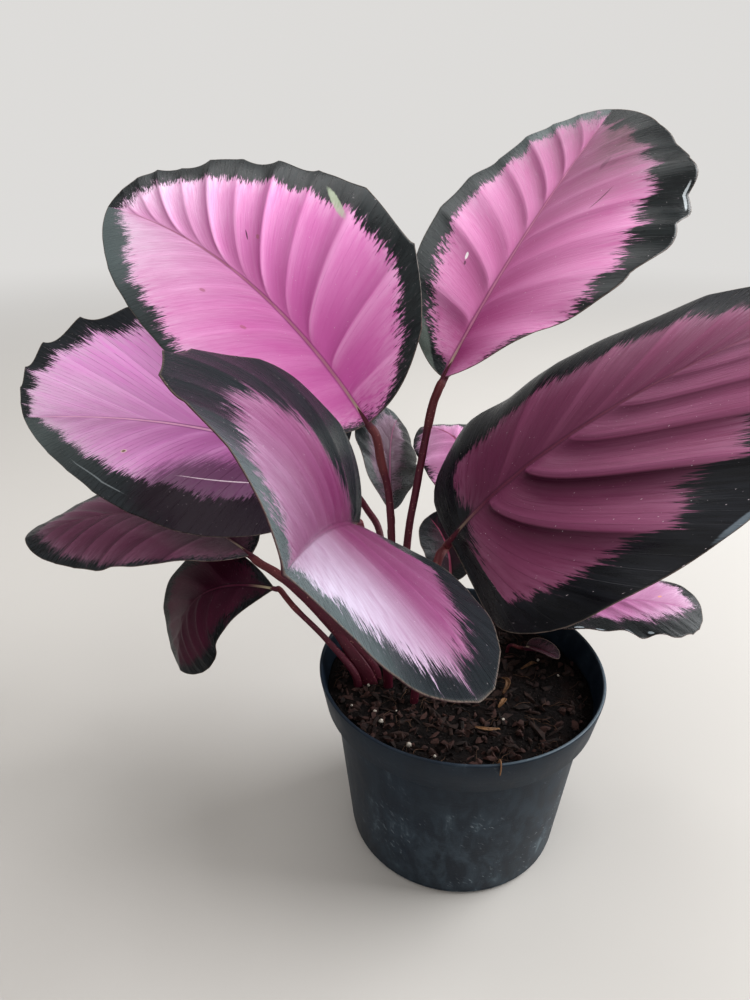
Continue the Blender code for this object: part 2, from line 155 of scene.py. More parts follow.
LEAVES = {
    "upper_left": Leaf(
        base=(-40, 21, 184), tip=(-153, 86, 259), width=107, face=(-104, 31), rise=4, bow=13, lean=0.06,
        twist=4, widest=0.49, sweep=(1.5, 1.35), path=(0.8, 0.55), veins=12.5, left=(0.82, 11, 3, -2, -4),
        right=(1.18, 23, -11, -7, -54),
        crests=((0.4, 0.7, 0.4, 0.8, 0.4, 0.7, 0.4, 0.6, 0.4),
            (0.6, 1, 1, 0.5, 1.1, 0.5, 1.2, 0.4, 1, 0.5, 0.6, 0.5)), ridge=(0.5, 2.8), painted_vein_shading=(0.05, 0.55),
        ruffle=(0.6, 1.5), hollow=(0.45, 0.36), scallop=(0.006, 0.035),
        margin=((2, 7, 8, 12, 6), (2, 9, 14, 17, 17, 14, 10, 8, 6)), steps=(0, 2),
        painted_gloss=(0.75, 0.6), pale=0.6, sheen=(1.2, 0), shade=(0, 0.15), pink="d077b1", glow="e8b1d8",
        deep="b45096", dark="0f1316", green="1d2426", rib="b0758c", slot="leaf_pink",
        spots_and_painted_light=((0.264, 0.79, 0.014, 0.09, 0.27, "a9b39b", 0.8),
            (0.443, 0.275, 0.0028, 0.034, 0.1, "3b2030", 0.8), (0.41, 0.298, 0.007, 0.018, 0, "8a6340", 0.45),
            (0.4335, -0.389, 0.009, 0.022, 0, "9a5a5c", 0.5),
            (0.2947, -0.3485, 0.009, 0.022, 0, "9a5a5c", 0.5)),
        crown=(-31, 4), foot=1.9, through=[(-30, 8, 130), (-31.4, 14, 156), (-34.5, 17, 169)]),
    "upper_right": Leaf(
        base=(-10, 32, 200), tip=(68, 118, 299), width=103, face=(-125, 43), rise=3, bow=-1.5, lean=-0.1,
        twist=-3, widest=0.57, sweep=(1.25, 1.3), path=(0.7, 0.9), veins=9.3, left=(0.88, 12, 1, 21, -24),
        right=(1.12, 26, 4, -26, -33),
        crests=((0.8, 1.1, 0.9, 0.3, 0.8, 1.1, 1.1, 0.6, 0.4), (0.5, 0.9, 0.5, 1, 0.6, 1, 0.6, 0.8, 0.5)),
        ridge=(1.9, 1.2), painted_vein_shading=(0.3, 0.15), ruffle=(0.8, 2.4), hollow=(0.66, 0.6), scallop=(0.008, -0.05),
        margin=((6, 11, 11, 8, 6), (0, 1, 10, 15, 15, 14, 13, 11, 9)), steps=(0, 4),
        painted_gloss=(0.55, 1.1), painted_gloss_tone="64434f", pale=0.4, sheen=(1, 0), shade=(0, 0.2), pink="cf79ae",
        glow="daa2c8", deep="933e72", dark="101416", green="1b2122", rib="b0708d", slot="leaf_rose",
        # The last mark is a painted highlight along the edge of the right half.
        spots_and_painted_light=((0.06, -0.85, 0.06, 0.24, 0, "77827b", 0.7), (0.2477, -0.4166, 0.008, 0.02, 0, "f2eef0", 0.9),
            (0.236, -0.4, 0.004, 0.016, 0, "3a2030", 0.7), (0.475, 0.47, 0.0045, 0.06, 0.6, "40202f", 0.8),
            (0.646, 0.42, 0.016, 0.05, 0.4, "4a2a3a", 0.35), (0.43, 0.972, 0.045, 0.011, 0, "c3cacd", 0.75)),
        crown=(-26, 6), foot=2, through=[(-23.7, 12, 134), (-20.3, 18, 157), (-15, 27, 186)]),
    "right": Leaf(
        base=(-7, 4, 141), tip=(116, -5, 237), width=108, face=(-87, 45), rise=23, bow=-5, lean=-0.09,
        twist=-8, widest=0.36, sweep=(2.4, 3.4), path=(0.7, 1.6), veins=8.5, onset=0.08, offset=-0.45,
        left=(0.88, -3, -4, -62, -76), right=(1.12, 10, 4, 31, -24),
        crests=((0.5, 0.8, 0.6, 0.9, 0.5, 0.8, 0.5, 0.5), (1.4, 1.7, 0.8, 0.7, 0.5, 0.5, 0.4, 0.3)),
        ridge=(1.6, 3.4), painted_vein_shading=(0.25, 0.8), ruffle=(0.8, 1), hollow=(0.5, 0.72), scallop=(0.006, 0.008),
        margin=((19, 22, 17, 10, 7), (2, 18, 15, 18, 20, 19, 18, 16, 15, 14, 13, 12, 12, 11, 10, 9, 9)),
        steps=(3, 6),
        painted_gloss=(0, 0.3), painted_gloss_tone="7a5068", pale=0.15, shade=(0, -0.15), lines=0.5, ribbed=0.5, pink="713453",
        glow="905474", deep="501d38", dark="0a0b10", green="1a1c22", rib="6f3249", slot="leaf_plum",
        # The mark is a painted highlight at the edge of the right half.
        spots_and_painted_light=((0.185, 0.99, 0.03, 0.02, 0, "75818a", 0.6),),
        crown=(-20, -14.5), foot=1.8, through=[(-15.4, -6, 115), (-11.8, 0, 134)]),
    "left": Leaf(
        base=(-57, 60, 146), tip=(-198, 66, 170), width=98, face=(-99, 22), rise=16, bow=10, lean=-0.15,
        twist=-14, widest=0.43, sweep=(2.3, 2.5), path=(0.8, 0.8), veins=9, left=(0.96, 20, -10, 0, 0),
        right=(1.1, 2, 4, -4, 0),
        crests=((0.5, 0.9, 1, 0.9, 0.6, 0.8, 0.5), (0.5, 0.6, 0.8, 1.1, 1.1, 0.6, 0.8, 0.5)),
        ridge=(1.2, 1.2), painted_vein_shading=(0.2, 0.3), ruffle=(0.8, 1.6), scallop=(0.01, 0.09),
        margin=((14, 20, 17, 13, 6), (10, 11, 8, 5, 4)), steps=(2, 2),
        painted_gloss=(0.5, 0.5), pale=0.8, sheen=(0.9, 0.2), shade=(0.2, 0), lines=0.8, pink="fb9fee",
        glow="fdd2f8", deep="a95a99", dark="12151b", green="23272e", rib="edb6d6", slot="leaf_pink",
        # The first mark is painted shade over the left half near the base.
        spots_and_painted_light=((0.12, -0.62, 0.24, 0.55, 0, "2a1726", 0.75), (0.438, -0.468, 0.0085, 0.028, 0, "ead9c8", 0.8),
            (0.438, -0.468, 0.0055, 0.018, 0, "6d4a3a", 0.9),
            (0.19, -0.43, 0.006, 0.09, -0.86, "efdde8", 0.75), (0.42, -0.85, 0.12, 0.01, 0, "9aa2a6", 0.6)),
        crown=(-36.5, 10), foot=1.9, through=[(-34, 30, 124), (-41, 44, 136)]),
    "front": Leaf(
        base=(-42, -45, 173), tip=(-49, -173, 231), width=97, face=(-71, 34), bow=3, widest=0.57,
        sweep=(1.3, 1.3), path=(0.9, 0.9), veins=9, left=(0.97, 33, 18, 20, -20),
        right=(1.03, 41, 18, -40, -83),
        crests=((0.6, 0.9, 0.5, 1, 0.6, 0.9, 0.6, 0.5), (0.6, 0.9, 0.6, 1, 0.6, 0.9, 0.6, 0.5)),
        ridge=(1.2, 1.4), ruffle=(1.4, 1.2), hollow=(0.45, 0.5), scallop=(0.01, 0.025),
        margin=((7, 12, 7, 10, 8), (10, 26, 14, 8, 8)), steps=(2, -3),
        painted_gloss=(0.85, 0.2), painted_gloss_at=(0.36, 0.8), painted_gloss_tone="bfb8c9", pale=0.15, sheen=(0.9, 0.9),
        sheen_at=(0.6, 0.85), shade=(0.1, 0.1), lines=0.5, ribbed=0.2, plum=0.1, feather=1.4, gloss=0.03,
        pink="7b3d66", glow="946a86", deep="5c2145", dark="080a10", green="12161c", rib="8e4f74",
        slot="leaf_pink",
        crown=(-31, -5), foot=2, through=[(-34, -12, 112), (-40, -30, 150)]),
    "lower_left": Leaf(
        base=(-93, 36, 116), tip=(-201, 50, 116), width=71, face=(-100, 77), rise=7, bow=16, lean=-0.02,
        twist=7, widest=0.54, sweep=(1.2, 1.2), path=(0.9, 0.9), veins=9, left=(1, 13, -4, -18, -34),
        right=(1, 13, -11, -2, -18),
        ridge=(1.2, 1.2), painted_vein_shading=(0.8, 0.8), ruffle=(0.9, 0.9), scallop=(0.014, 0.018),
        margin=((2, 3, 5, 8, 6), (3, 5, 6, 8, 6)),
        pink="552a40", glow="693f55", deep="3b182a", dark="0d0e11", rib="5b2c42", slot="leaf_plum",
        crown=(-37.5, 1), foot=3.1, taper=(0.35, 1), flat=0.35,
        through=[(-50, 6, 93), (-66, 17, 105), (-80, 26, 112)]),
    "drooping": Leaf(
        base=(-82, 28, 103), tip=(-133, 40, 48), width=55, face=(-105, 56), rise=14, bow=15, lean=-0.03,
        twist=5, widest=0.65, sweep=(1.2, 1.2), path=(0.9, 0.9), veins=8, left=(0.98, 0, -7, -28, -30),
        right=(1.02, 4, -12, -16, 21),
        painted_vein_shading=(0.12, 0.12), ruffle=(0.6, 0.8), scallop=(0.01, 0.012),
        margin=((2, 5, 8, 8, 6), (3, 4, 6, 7, 6)),
        pale=0, gloss=0.08, pink="401428", glow="471b30", deep="2a0c1b", dark="0b0b0d", rib="4a1c30",
        slot="leaf_maroon",
        crown=(-44.5, -4), foot=1.9, lead=1.6, through=[(-57, 4, 92.5), (-71.5, 15.5, 101)]),
    "centre": Leaf(
        base=(-29, 52, 131), tip=(-25, 110, 156), width=43, face=(-55, 25), rise=7, bow=-9, lean=-0.02,
        twist=2, widest=0.56, veins=7, left=(1, 12, 2, -13, -20), right=(1, -1, 0, -12, -20),
        ridge=(1.1, 0.9), ruffle=(2.2, 1.6), scallop=(0.02, 0.02),
        margin=((2, 8, 11, 10, 8), (4, 11, 14, 12, 8)),
        painted_gloss=(0.1, 0.1), pale=0.3, sheen=(0.4, 0), pink="46253a", glow="5d3f51", deep="361627",
        dark="06080b", green="171d20", rib="7a3f5e", slot="leaf_rose",
        crown=(-31, 11.5), foot=1.7, through=[(-28, 26, 106), (-30, 40, 125)]),
    "back": Leaf(
        base=(11, 56, 132), tip=(-15, 90, 158), width=43, face=(-73, 43), rise=15, bow=4, twist=5,
        widest=0.45, veins=7, left=(1, 3, -9, -15, -27), right=(1, 2, -14, -19, -28),
        margin=((2, 2, 3, 5, 5), (2, 3, 8, 9, 7)),
        painted_gloss=(0.1, 0.1), pale=0.3, sheen=(0.2, 0.2), pink="db95c4", glow="dfabd0", deep="aa5a8c",
        dark="12161a", slot="leaf_pink",
        crown=(-20.5, 9.5), foot=1.7, through=[(-8, 26, 104), (7, 44, 126)]),
    "low_right": Leaf(
        base=(34, 24, 92), tip=(114, 31, 90), width=52, face=(-90, 86), rise=6, bow=-3, twist=13, widest=0.52,
        sweep=(1.2, 1.2), veins=8, left=(0.99, -6, 15, -40, -60), right=(1.01, 3, 2, 22, 2),
        ridge=(0.7, 1.4), ruffle=(0.8, 1.6), scallop=(0.01, 0.05),
        margin=((5, 5, 5, 5, 5), (8, 13, 13, 12, 7)),
        painted_gloss=(0.2, 0.2), pale=0.4, pink="9c5a86", glow="b37ea2", deep="8f4a78", dark="0c1113",
        green="141b1d", rib="a5618f", slot="leaf_rose",
        # The four pale marks along the right edge are painted gloss highlights.
        spots_and_painted_light=((0.696, -0.2475, 0.012, 0.05, 0, "c98a5a", 0.7), (0.13, 0.92, 0.014, 0.06, 0, "aeb8be", 0.7),
            (0.18, 0.93, 0.012, 0.05, 0, "aeb8be", 0.6), (0.25, 0.93, 0.014, 0.05, 0, "aeb8be", 0.7),
            (0.34, 0.93, 0.012, 0.04, 0, "aeb8be", 0.6)),
        crown=(-14, 12), foot=1.8, through=[(2, 17, 90), (22, 21, 92)]),
    "hidden": Leaf(
        base=(-4, 21, 112), tip=(-13, 42, 133), width=24, face=(-80, 10), rise=3, bow=3, widest=0.5, veins=5,
        left=(1, 20, 10, 10, 10), right=(1, 20, 10, 10, 10),
        ridge=(0.5, 0.5), margin=((3, 6, 7, 6, 4), (3, 6, 7, 6, 4)),
        pale=0, pink="351628", glow="432030", deep="240e1b", dark="0a0a0d", slot="leaf_maroon",
        crown=(-25, 13), foot=1.5, through=[(-12, 17, 100)]),
    "young": Leaf(
        base=(31, 16, 81), tip=(43, 4, 84), width=10, face=(-60, 50), rise=1.5, widest=0.45, veins=4,
        left=(1, 25, 20, 40, 30), right=(1, 25, 20, 40, 30),
        ridge=(0.2, 0.2), ruffle=(0.1, 0.1), scallop=(0, 0), margin=((0.5, 1, 1, 1, 1), (0.5, 1, 1, 1, 1)),
        pink="361420", glow="4a2230", deep="280c16", dark="120c0e", rib="4a2030", slot="leaf_maroon",
        crown=(24.5, 22), foot=1.3, collar=76.5, lead=3),
}


# Small helpers


def unit(vector):
    return vector / np.linalg.norm(vector, axis=-1, keepdims=True)


def facing(azimuth, elevation):
    a, e = radians(azimuth), radians(elevation)
    return np.array([cos(e) * cos(a), cos(e) * sin(a), sin(e)])


def polar(angle, reach):
    return reach * cos(angle), reach * sin(angle)


def distances(line):
    """How far along a line each of its points is."""
    return np.append(0, np.cumsum(np.linalg.norm(np.diff(line, axis=0), axis=1)))


def smoothstep(low, high, x):
    u = np.clip((x - low) / (high - low), 0, 1)
    return u * u * (3 - 2 * u)


def new_object(data):
    """An object that is named as its data."""
    obj = bpy.data.objects.new(data.name, data)
    bpy.context.scene.collection.objects.link(obj)
    return obj


def new_mesh(name, points, faces):
    mesh = bpy.data.meshes.new(name)
    mesh.from_pydata(points, [], faces)
    return mesh


def mesh_from(name, bm):
    mesh = bpy.data.meshes.new(name)
    bm.to_mesh(mesh)
    bm.free()
    return mesh


def add_piece(obj, mat, node=None):
    """Makes the object a piece of the plant, in place of a CAD node where one is named."""
    obj.data.materials.append(mat)
    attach(obj, "root")
    if node:
        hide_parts(node)


def store(mesh, name, values):
    """Keeps a number, or a row of three, for each vertex."""
    values = np.asarray(values, np.float32)
    kind, field = ("FLOAT_VECTOR", "vector") if values.ndim == 2 else ("FLOAT", "value")
    mesh.attributes.new(name, kind, "POINT").data.foreach_set(field, values.ravel())


def grid_faces(index):
    """Quads between neighbours of a grid of vertex numbers, or triangles where two corners are one vertex."""
    faces = []
    for a, b in zip(index[:-1].tolist(), index[1:].tolist()):
        for c in range(len(a) - 1):
            corners = (a[c], a[c + 1], b[c + 1], b[c])
            if corners[0] == corners[1]:
                corners = (a[c], b[c + 1], b[c])
            elif corners[2] == corners[3]:
                corners = (a[c], a[c + 1], b[c])
            faces.append(corners)
    return faces


def closed_rings(count, sides):
    """Vertex numbers of rings, each with its first number once more at its end."""
    index = np.arange(count * sides).reshape(count, sides)
    return np.concatenate([index, index[:, :1]], axis=1)


# Materials


def colour(code):
    """Linear colour of an sRGB hex code."""
    shares = [int(code[i:i + 2], 16) / 255 for i in (0, 2, 4)]
    return tuple(c / 12.92 if c <= 0.04045 else ((c + 0.055) / 1.055) ** 2.4 for c in shares) + (1,)


class Value:
    """What a node gives out. Its sums, products, powers, ramps and coats are made by further nodes."""

    def __init__(self, graph, socket):
        self.graph, self.socket = graph, socket

    def math(self, operation, other=0):
        return self.graph.add("ShaderNodeMath", {0: self, 1: other}, operation=operation)

    __add__ = partialmethod(math, "ADD")
    __sub__ = partialmethod(math, "SUBTRACT")
    __mul__ = partialmethod(math, "MULTIPLY")
    __truediv__ = partialmethod(math, "DIVIDE")
    __pow__ = partialmethod(math, "POWER")
    __abs__ = partialmethod(math, "ABSOLUTE")

    def ramp(self, low, high, start=0, end=1):
        """Goes smoothly from start to end as this goes from low to high."""
        inputs = {"Value": self, "From Min": low, "From Max": high, "To Min": start, "To Max": end}
        return self.graph.add("ShaderNodeMapRange", inputs, "Result", interpolation_type="SMOOTHSTEP")

    def coat(self, share, over):
        """This colour with a share of another one over it."""
        return self.graph.mix(share, self, over)

    def parts(self):
        made = self.graph.add("ShaderNodeSeparateXYZ", {0: self})
        return [Value(self.graph, socket) for socket in made.socket.node.outputs]


class Graph:
    """The nodes of one material, with short calls for the usual ones. A text as an input is a hex colour."""

    def __init__(self, name):
        self.mat = bpy.data.materials.new(name)
        self.mat.use_nodes = True
        self.tree = self.mat.node_tree

    def fill(self, node, inputs):
        for key, value in inputs.items():
            if isinstance(value, Value):
                self.tree.links.new(value.socket, node.inputs[key])
            else:
                node.inputs[key].default_value = colour(value) if isinstance(value, str) else value

    def add(self, kind, inputs, output=0, **settings):
        made = self.tree.nodes.new(kind)
        for key, value in settings.items():
            setattr(made, key, value)
        self.fill(made, inputs)
        return Value(self, made.outputs[output])

    def finish(self, **inputs):
        """Fills the shader's inputs and gives the material."""
        inputs = {key.replace("_", " "): value for key, value in inputs.items()}
        self.fill(self.tree.nodes["Principled BSDF"], inputs)
        return self.mat

    def mix(self, share, a, b):
        return self.add("ShaderNodeMix", {0: share, 6: a, 7: b}, 2, data_type="RGBA")

    def vector(self, x, y=0, z=0):
        return self.add("ShaderNodeCombineXYZ", {0: x, 1: y, 2: z})

    def noise(self, place, scale=1, detail=2, roughness=0.5, distortion=0):
        inputs = {"Vector": place, "Scale": scale, "Detail": detail, "Roughness": roughness,
                  "Distortion": distortion}
        return self.add("ShaderNodeTexNoise", inputs)

    def attribute(self, name, output="Fac"):
        return self.add("ShaderNodeAttribute", {}, output, attribute_name=name)

    def bump(self, height, distance, strength):
        return self.add("ShaderNodeBump", {"Height": height, "Distance": distance, "Strength": strength})

    def object_place(self):
        return self.add("ShaderNodeTexCoord", {}, "Object")


def leaf_material(name, leaf, seed):
    """A pink middle that feathers along the side veins into a dark green margin, and a maroon underside."""
    g = Graph(f"leaf {name}")
    v, t, inner = g.attribute("leaf", "Vector").parts()
    under, ridge, edge, reach, painted_vein_shading = map(g.attribute, ("under", "ridge", "edge", "reach", "painted_vein_shading"))
    out = abs(t)
    lane = v + t.ramp(-0.02, 0.02) * 3.7

    def streaks(across, along, shift, detail, roughness=0.5):
        """Noise in streaks that run out along the side veins: fast across them, slow along them."""
        return g.noise(g.vector(lane * across, out * along, seed + shift), 1, detail, roughness)

    def by_half(pair):
        """A value for each half of the blade."""
        return t.ramp(-0.05, 0.05, *pair)

    broad = streaks(7, 2.2, 5.5, 1)
    tongue = streaks(15, 1.2, 9.1, 1)
    coarse = streaks(34, 1.6, 0, 2)
    fine = streaks(130, 5, 3.1, 3, 0.6)
    hair = streaks(360, 10, 7.7, 3, 0.65)
    speck = streaks(300, 120, 1.3, 0)
    grain = streaks(900, 200, 0, 2)

    # The pink's reach over the margin, in millimetres
    feather = (tongue - 0.5) * 5 + (coarse - 0.5) * 3 + (fine - 0.5) * 3
    feather = feather + (hair - 0.5) * 17 + (broad - 0.5) * 8
    inside = inner + feather * v.ramp(0, 0.14, 0.45) * leaf.feather + ridge ** 3 * 1.5
    pink_share = inside.ramp(-1.5, 1.3)

    light = (fine - 0.5) * 0.7 + (hair - 0.5) * 0.5 + (broad - 0.45) * 0.7 + (coarse - 0.5) * 0.5 + 0.35
    # Deeper towards the midrib and the base, painted shade in the hollows between the side veins, and each
    # half's shade
    depth = (out.ramp(0.75, 0, 0, 0.42) + v.ramp(0.5, 0, 0, 0.3) + ridge.ramp(0.6, 0) * 0.15
             + by_half(leaf.shade))
    middle = g.mix(light, leaf.pink, leaf.glow).coat(depth, leaf.deep)

    # Pale feathering where the pink runs out, stronger towards the tip and partly a painted sheen, and a
    # painted gloss over the pink towards the tip
    pale = inside.ramp(10, 0) * (fine + hair * 0.6).ramp(0.62, 0.95) * v.ramp(0.1, 0.8, 0.3) * leaf.pale
    painted_gloss_tone = v.ramp(*leaf.painted_gloss_at) * out.ramp(0, 0.6, 0.5) * (fine * 0.9 + 0.45) * by_half(leaf.painted_gloss)
    middle = middle.coat(pale, "e9d2e6").coat(painted_gloss_tone, leaf.painted_gloss_tone)

    # Painted shade on the steep side of each side vein and a painted highlight on its lit side, fine dark
    # lines between them, and the veins themselves
    shadow = g.mix(0.35, leaf.deep, leaf.dark)
    line = lane.math("PINGPONG", 1 / (2 * leaf.veins * 6))
    thin = line.ramp(0.0009, 0, 0, leaf.lines) * out.ramp(0.04, 0.2) * hair.ramp(0.3, 0.6)
    vein = ridge.ramp(0.93, 1) * out.ramp(1, 0.1, 0.1, 0.4)
    middle = middle.coat(painted_vein_shading, shadow).coat(painted_vein_shading * -1, leaf.glow)
    middle = middle.coat(thin, leaf.deep).coat(vein, leaf.deep)

    # The margin: its painted sheen, silver hairs and the purple just outside the pink
    dark = g.mix((fine + broad * 0.4).ramp(0.5, 0.95), leaf.dark, leaf.green)
    lit = by_half(leaf.sheen) * (broad * 0.5 + 0.5 + fine * 0.4) * v.ramp(*leaf.sheen_at, 0.15, 1)
    silver = inside.ramp(-5, -0.5) * hair.ramp(0.56, 0.75) * leaf.pale * 0.5
    plum = inside.ramp(-3, 0) * fine.ramp(0.4, 0.65) * leaf.plum
    dark = dark.coat(lit, "5b6566").coat(silver, "8f888c").coat(plum, g.mix(0.5, leaf.deep, leaf.dark))

    # The midrib: a thin raised line with a shade on each side of it, tan at the leaf's base
    beside = reach / v.ramp(1, 0, 0.3)
    shade = beside.ramp(1.5, 0.7) * v.ramp(0.95, 0.4) * leaf.ribbed
    core = beside.ramp(0.7, 0.4) * v.ramp(0.98, 0.85) * leaf.ribbed * 1.1
    rib = g.mix(v.ramp(0, 0.16), "a39a80", leaf.rib)
    face = dark.coat(pink_share, middle).coat(shade, shadow).coat(core, rib)

    # Small spots and scratches, and a few painted highlights and one painted shade
    for at_v, at_t, size_v, size_t, slant, code, strength in leaf.spots_and_painted_light:
        aside = t - at_t
        ahead = v - at_v - aside * slant
        far = (ahead * (1 / size_v)) ** 2 + (aside * (1 / size_t)) ** 2 + (hair - 0.5) * 0.8
        face = face.coat(far.ramp(1, 0.4, 0, strength), code)

    face = face.coat(edge.ramp(0.45, 0.1) * fine.ramp(0.35, 0.6, 0.3, 0.9), "6d6058")
    face = face.coat(speck.ramp(0.84, 0.87, 0, 0.7), "c9bdc2")
    back = g.mix(fine, "471a2c", "5d2740").coat(inside.ramp(1, -1, 0, 0.5), "3a2a2c")
    back = back.coat(out.ramp(0.03, 0.015) * 0.7, "6d3a44")
    height = fine * 0.7 + hair * 0.35 + grain * 0.2 + thin * -0.8
    return g.finish(Base_Color=face.coat(under, back), Specular_IOR_Level=leaf.gloss,
                    Roughness=fine * 0.12 + 0.22 + pink_share * 0.10 + under * 0.25,
                    Normal=g.bump(height, 0.00022, 0.8))


def stem_material():
    """Maroon, with fine streaks along it, pale dots and a soft bloom."""
    g = Graph("stem")
    along, around, swell = g.attribute("stem", "Vector").parts()
    streak = g.noise(g.vector(along * 60, around * 9), 1, 3)
    patch = g.noise(g.object_place(), 160)
    dots = g.noise(g.object_place(), 1400, 0)
    body = g.mix(streak, "2e0c16", "55192c").coat(patch.ramp(0.45, 0.75, 0, 0.5), "4c1d2a")
    body = body.coat(swell * 0.75, g.mix(streak, "471e23", "683534"))
    body = body.coat(dots.ramp(0.74, 0.82, 0, 0.4), "a97f76")
    return g.finish(Base_Color=body, Roughness=patch * 0.2 + 0.42, Specular_IOR_Level=0.25,
                    Normal=g.bump(streak + dots * 0.6, 0.00025, 0.7))


def pot_material():
    """Thin blue-black plastic with dust, cloudy water marks, short pale scuffs and a painted highlight on the
    lip.
    """
    g = Graph("pot plastic")
    place = g.object_place()
    x, y, z = place.parts()
    cloud = g.noise(place, 38, 4, 0.6)
    smear = g.noise(g.vector(x * 130, y * 130, z * 70), 1, 4, 0.65, 0.6)
    fleck = g.noise(g.vector((x + z) * 650, y * 420, (z - x) * 190), 1, 3, 0.6)
    low = z.ramp(0.075, 0.02, 0.25) * x.ramp(-0.05, 0.02, 0.4)
    # A painted highlight along the top of the lip, on its right side
    painted_lip_highlight = z.ramp(POT_HEIGHT - 0.0004, POT_HEIGHT - 0.0001) * x.ramp(-0.01, 0.03) * 0.7
    base = g.mix(cloud, "0a131d", "142331").coat(smear.ramp(0.38, 0.68) * low * 0.9, "3d4a54")
    base = base.coat(smear.ramp(0.60, 0.72) * cloud.ramp(0.42, 0.6) * low * 0.8, "66737a")
    base = base.coat(fleck.ramp(0.60, 0.74) * cloud.ramp(0.46, 0.60) * low * 0.85, "8f999f")
    base = base.coat(painted_lip_highlight, "5b676f")
    moulding = g.noise(g.vector(0, 0, z * 900), 1, 1)
    return g.finish(Base_Color=base, Roughness=smear * 0.3 + 0.33, Specular_IOR_Level=0.25,
                    Normal=g.bump(moulding * 0.5 + g.noise(place, 1500) * 0.5, 0.0001, 0.5))


def soil_material():
    """Dark peat between the chips."""
    g = Graph("soil")
    place = g.object_place()
    grain = g.noise(place, 900, 5, 0.7)
    patch = g.noise(place, 120, 3, 0.6)
    base = g.mix(grain.ramp(0.35, 0.7), "060404", "17100f").coat(patch.ramp(0.5, 0.7) * 0.5, "21130f")
    return g.finish(Base_Color=base, Roughness=0.95, Specular_IOR_Level=0.2,
                    Normal=g.bump(grain + patch, 0.0008, 1))


def crumb_material(name, dark, light, roughness=0.85, scale=1100):
    """Loose bits: each takes its own tone, with a grain over it."""
    g = Graph(name)
    grain = g.noise(g.object_place(), scale, 4, 0.65)
    base = g.mix(g.attribute("tone") * 0.6 + (grain - 0.42) * 1.8, dark, light)
    return g.finish(Base_Color=base, Roughness=roughness, Specular_IOR_Level=0.3,
                    Normal=g.bump(grain, 0.0004, 0.8))


def floor_material():
    """A pale matt floor that fades into the backdrop far from the plant."""
    g = Graph("floor")
    place = g.object_place()
    far = g.add("ShaderNodeVectorMath", {0: place}, "Value", operation="LENGTH").ramp(0.45, 2)
    near = g.mix(g.noise(place, 2.5), "b3b0ac", "bab7b3")
    return g.finish(Base_Color=near.coat(far, "000000"), Roughness=0.8, Specular_IOR_Level=0,
                    Emission_Color=BACKGROUND_TINT, Emission_Strength=far * BACKGROUND_LIGHT)


# Leaves


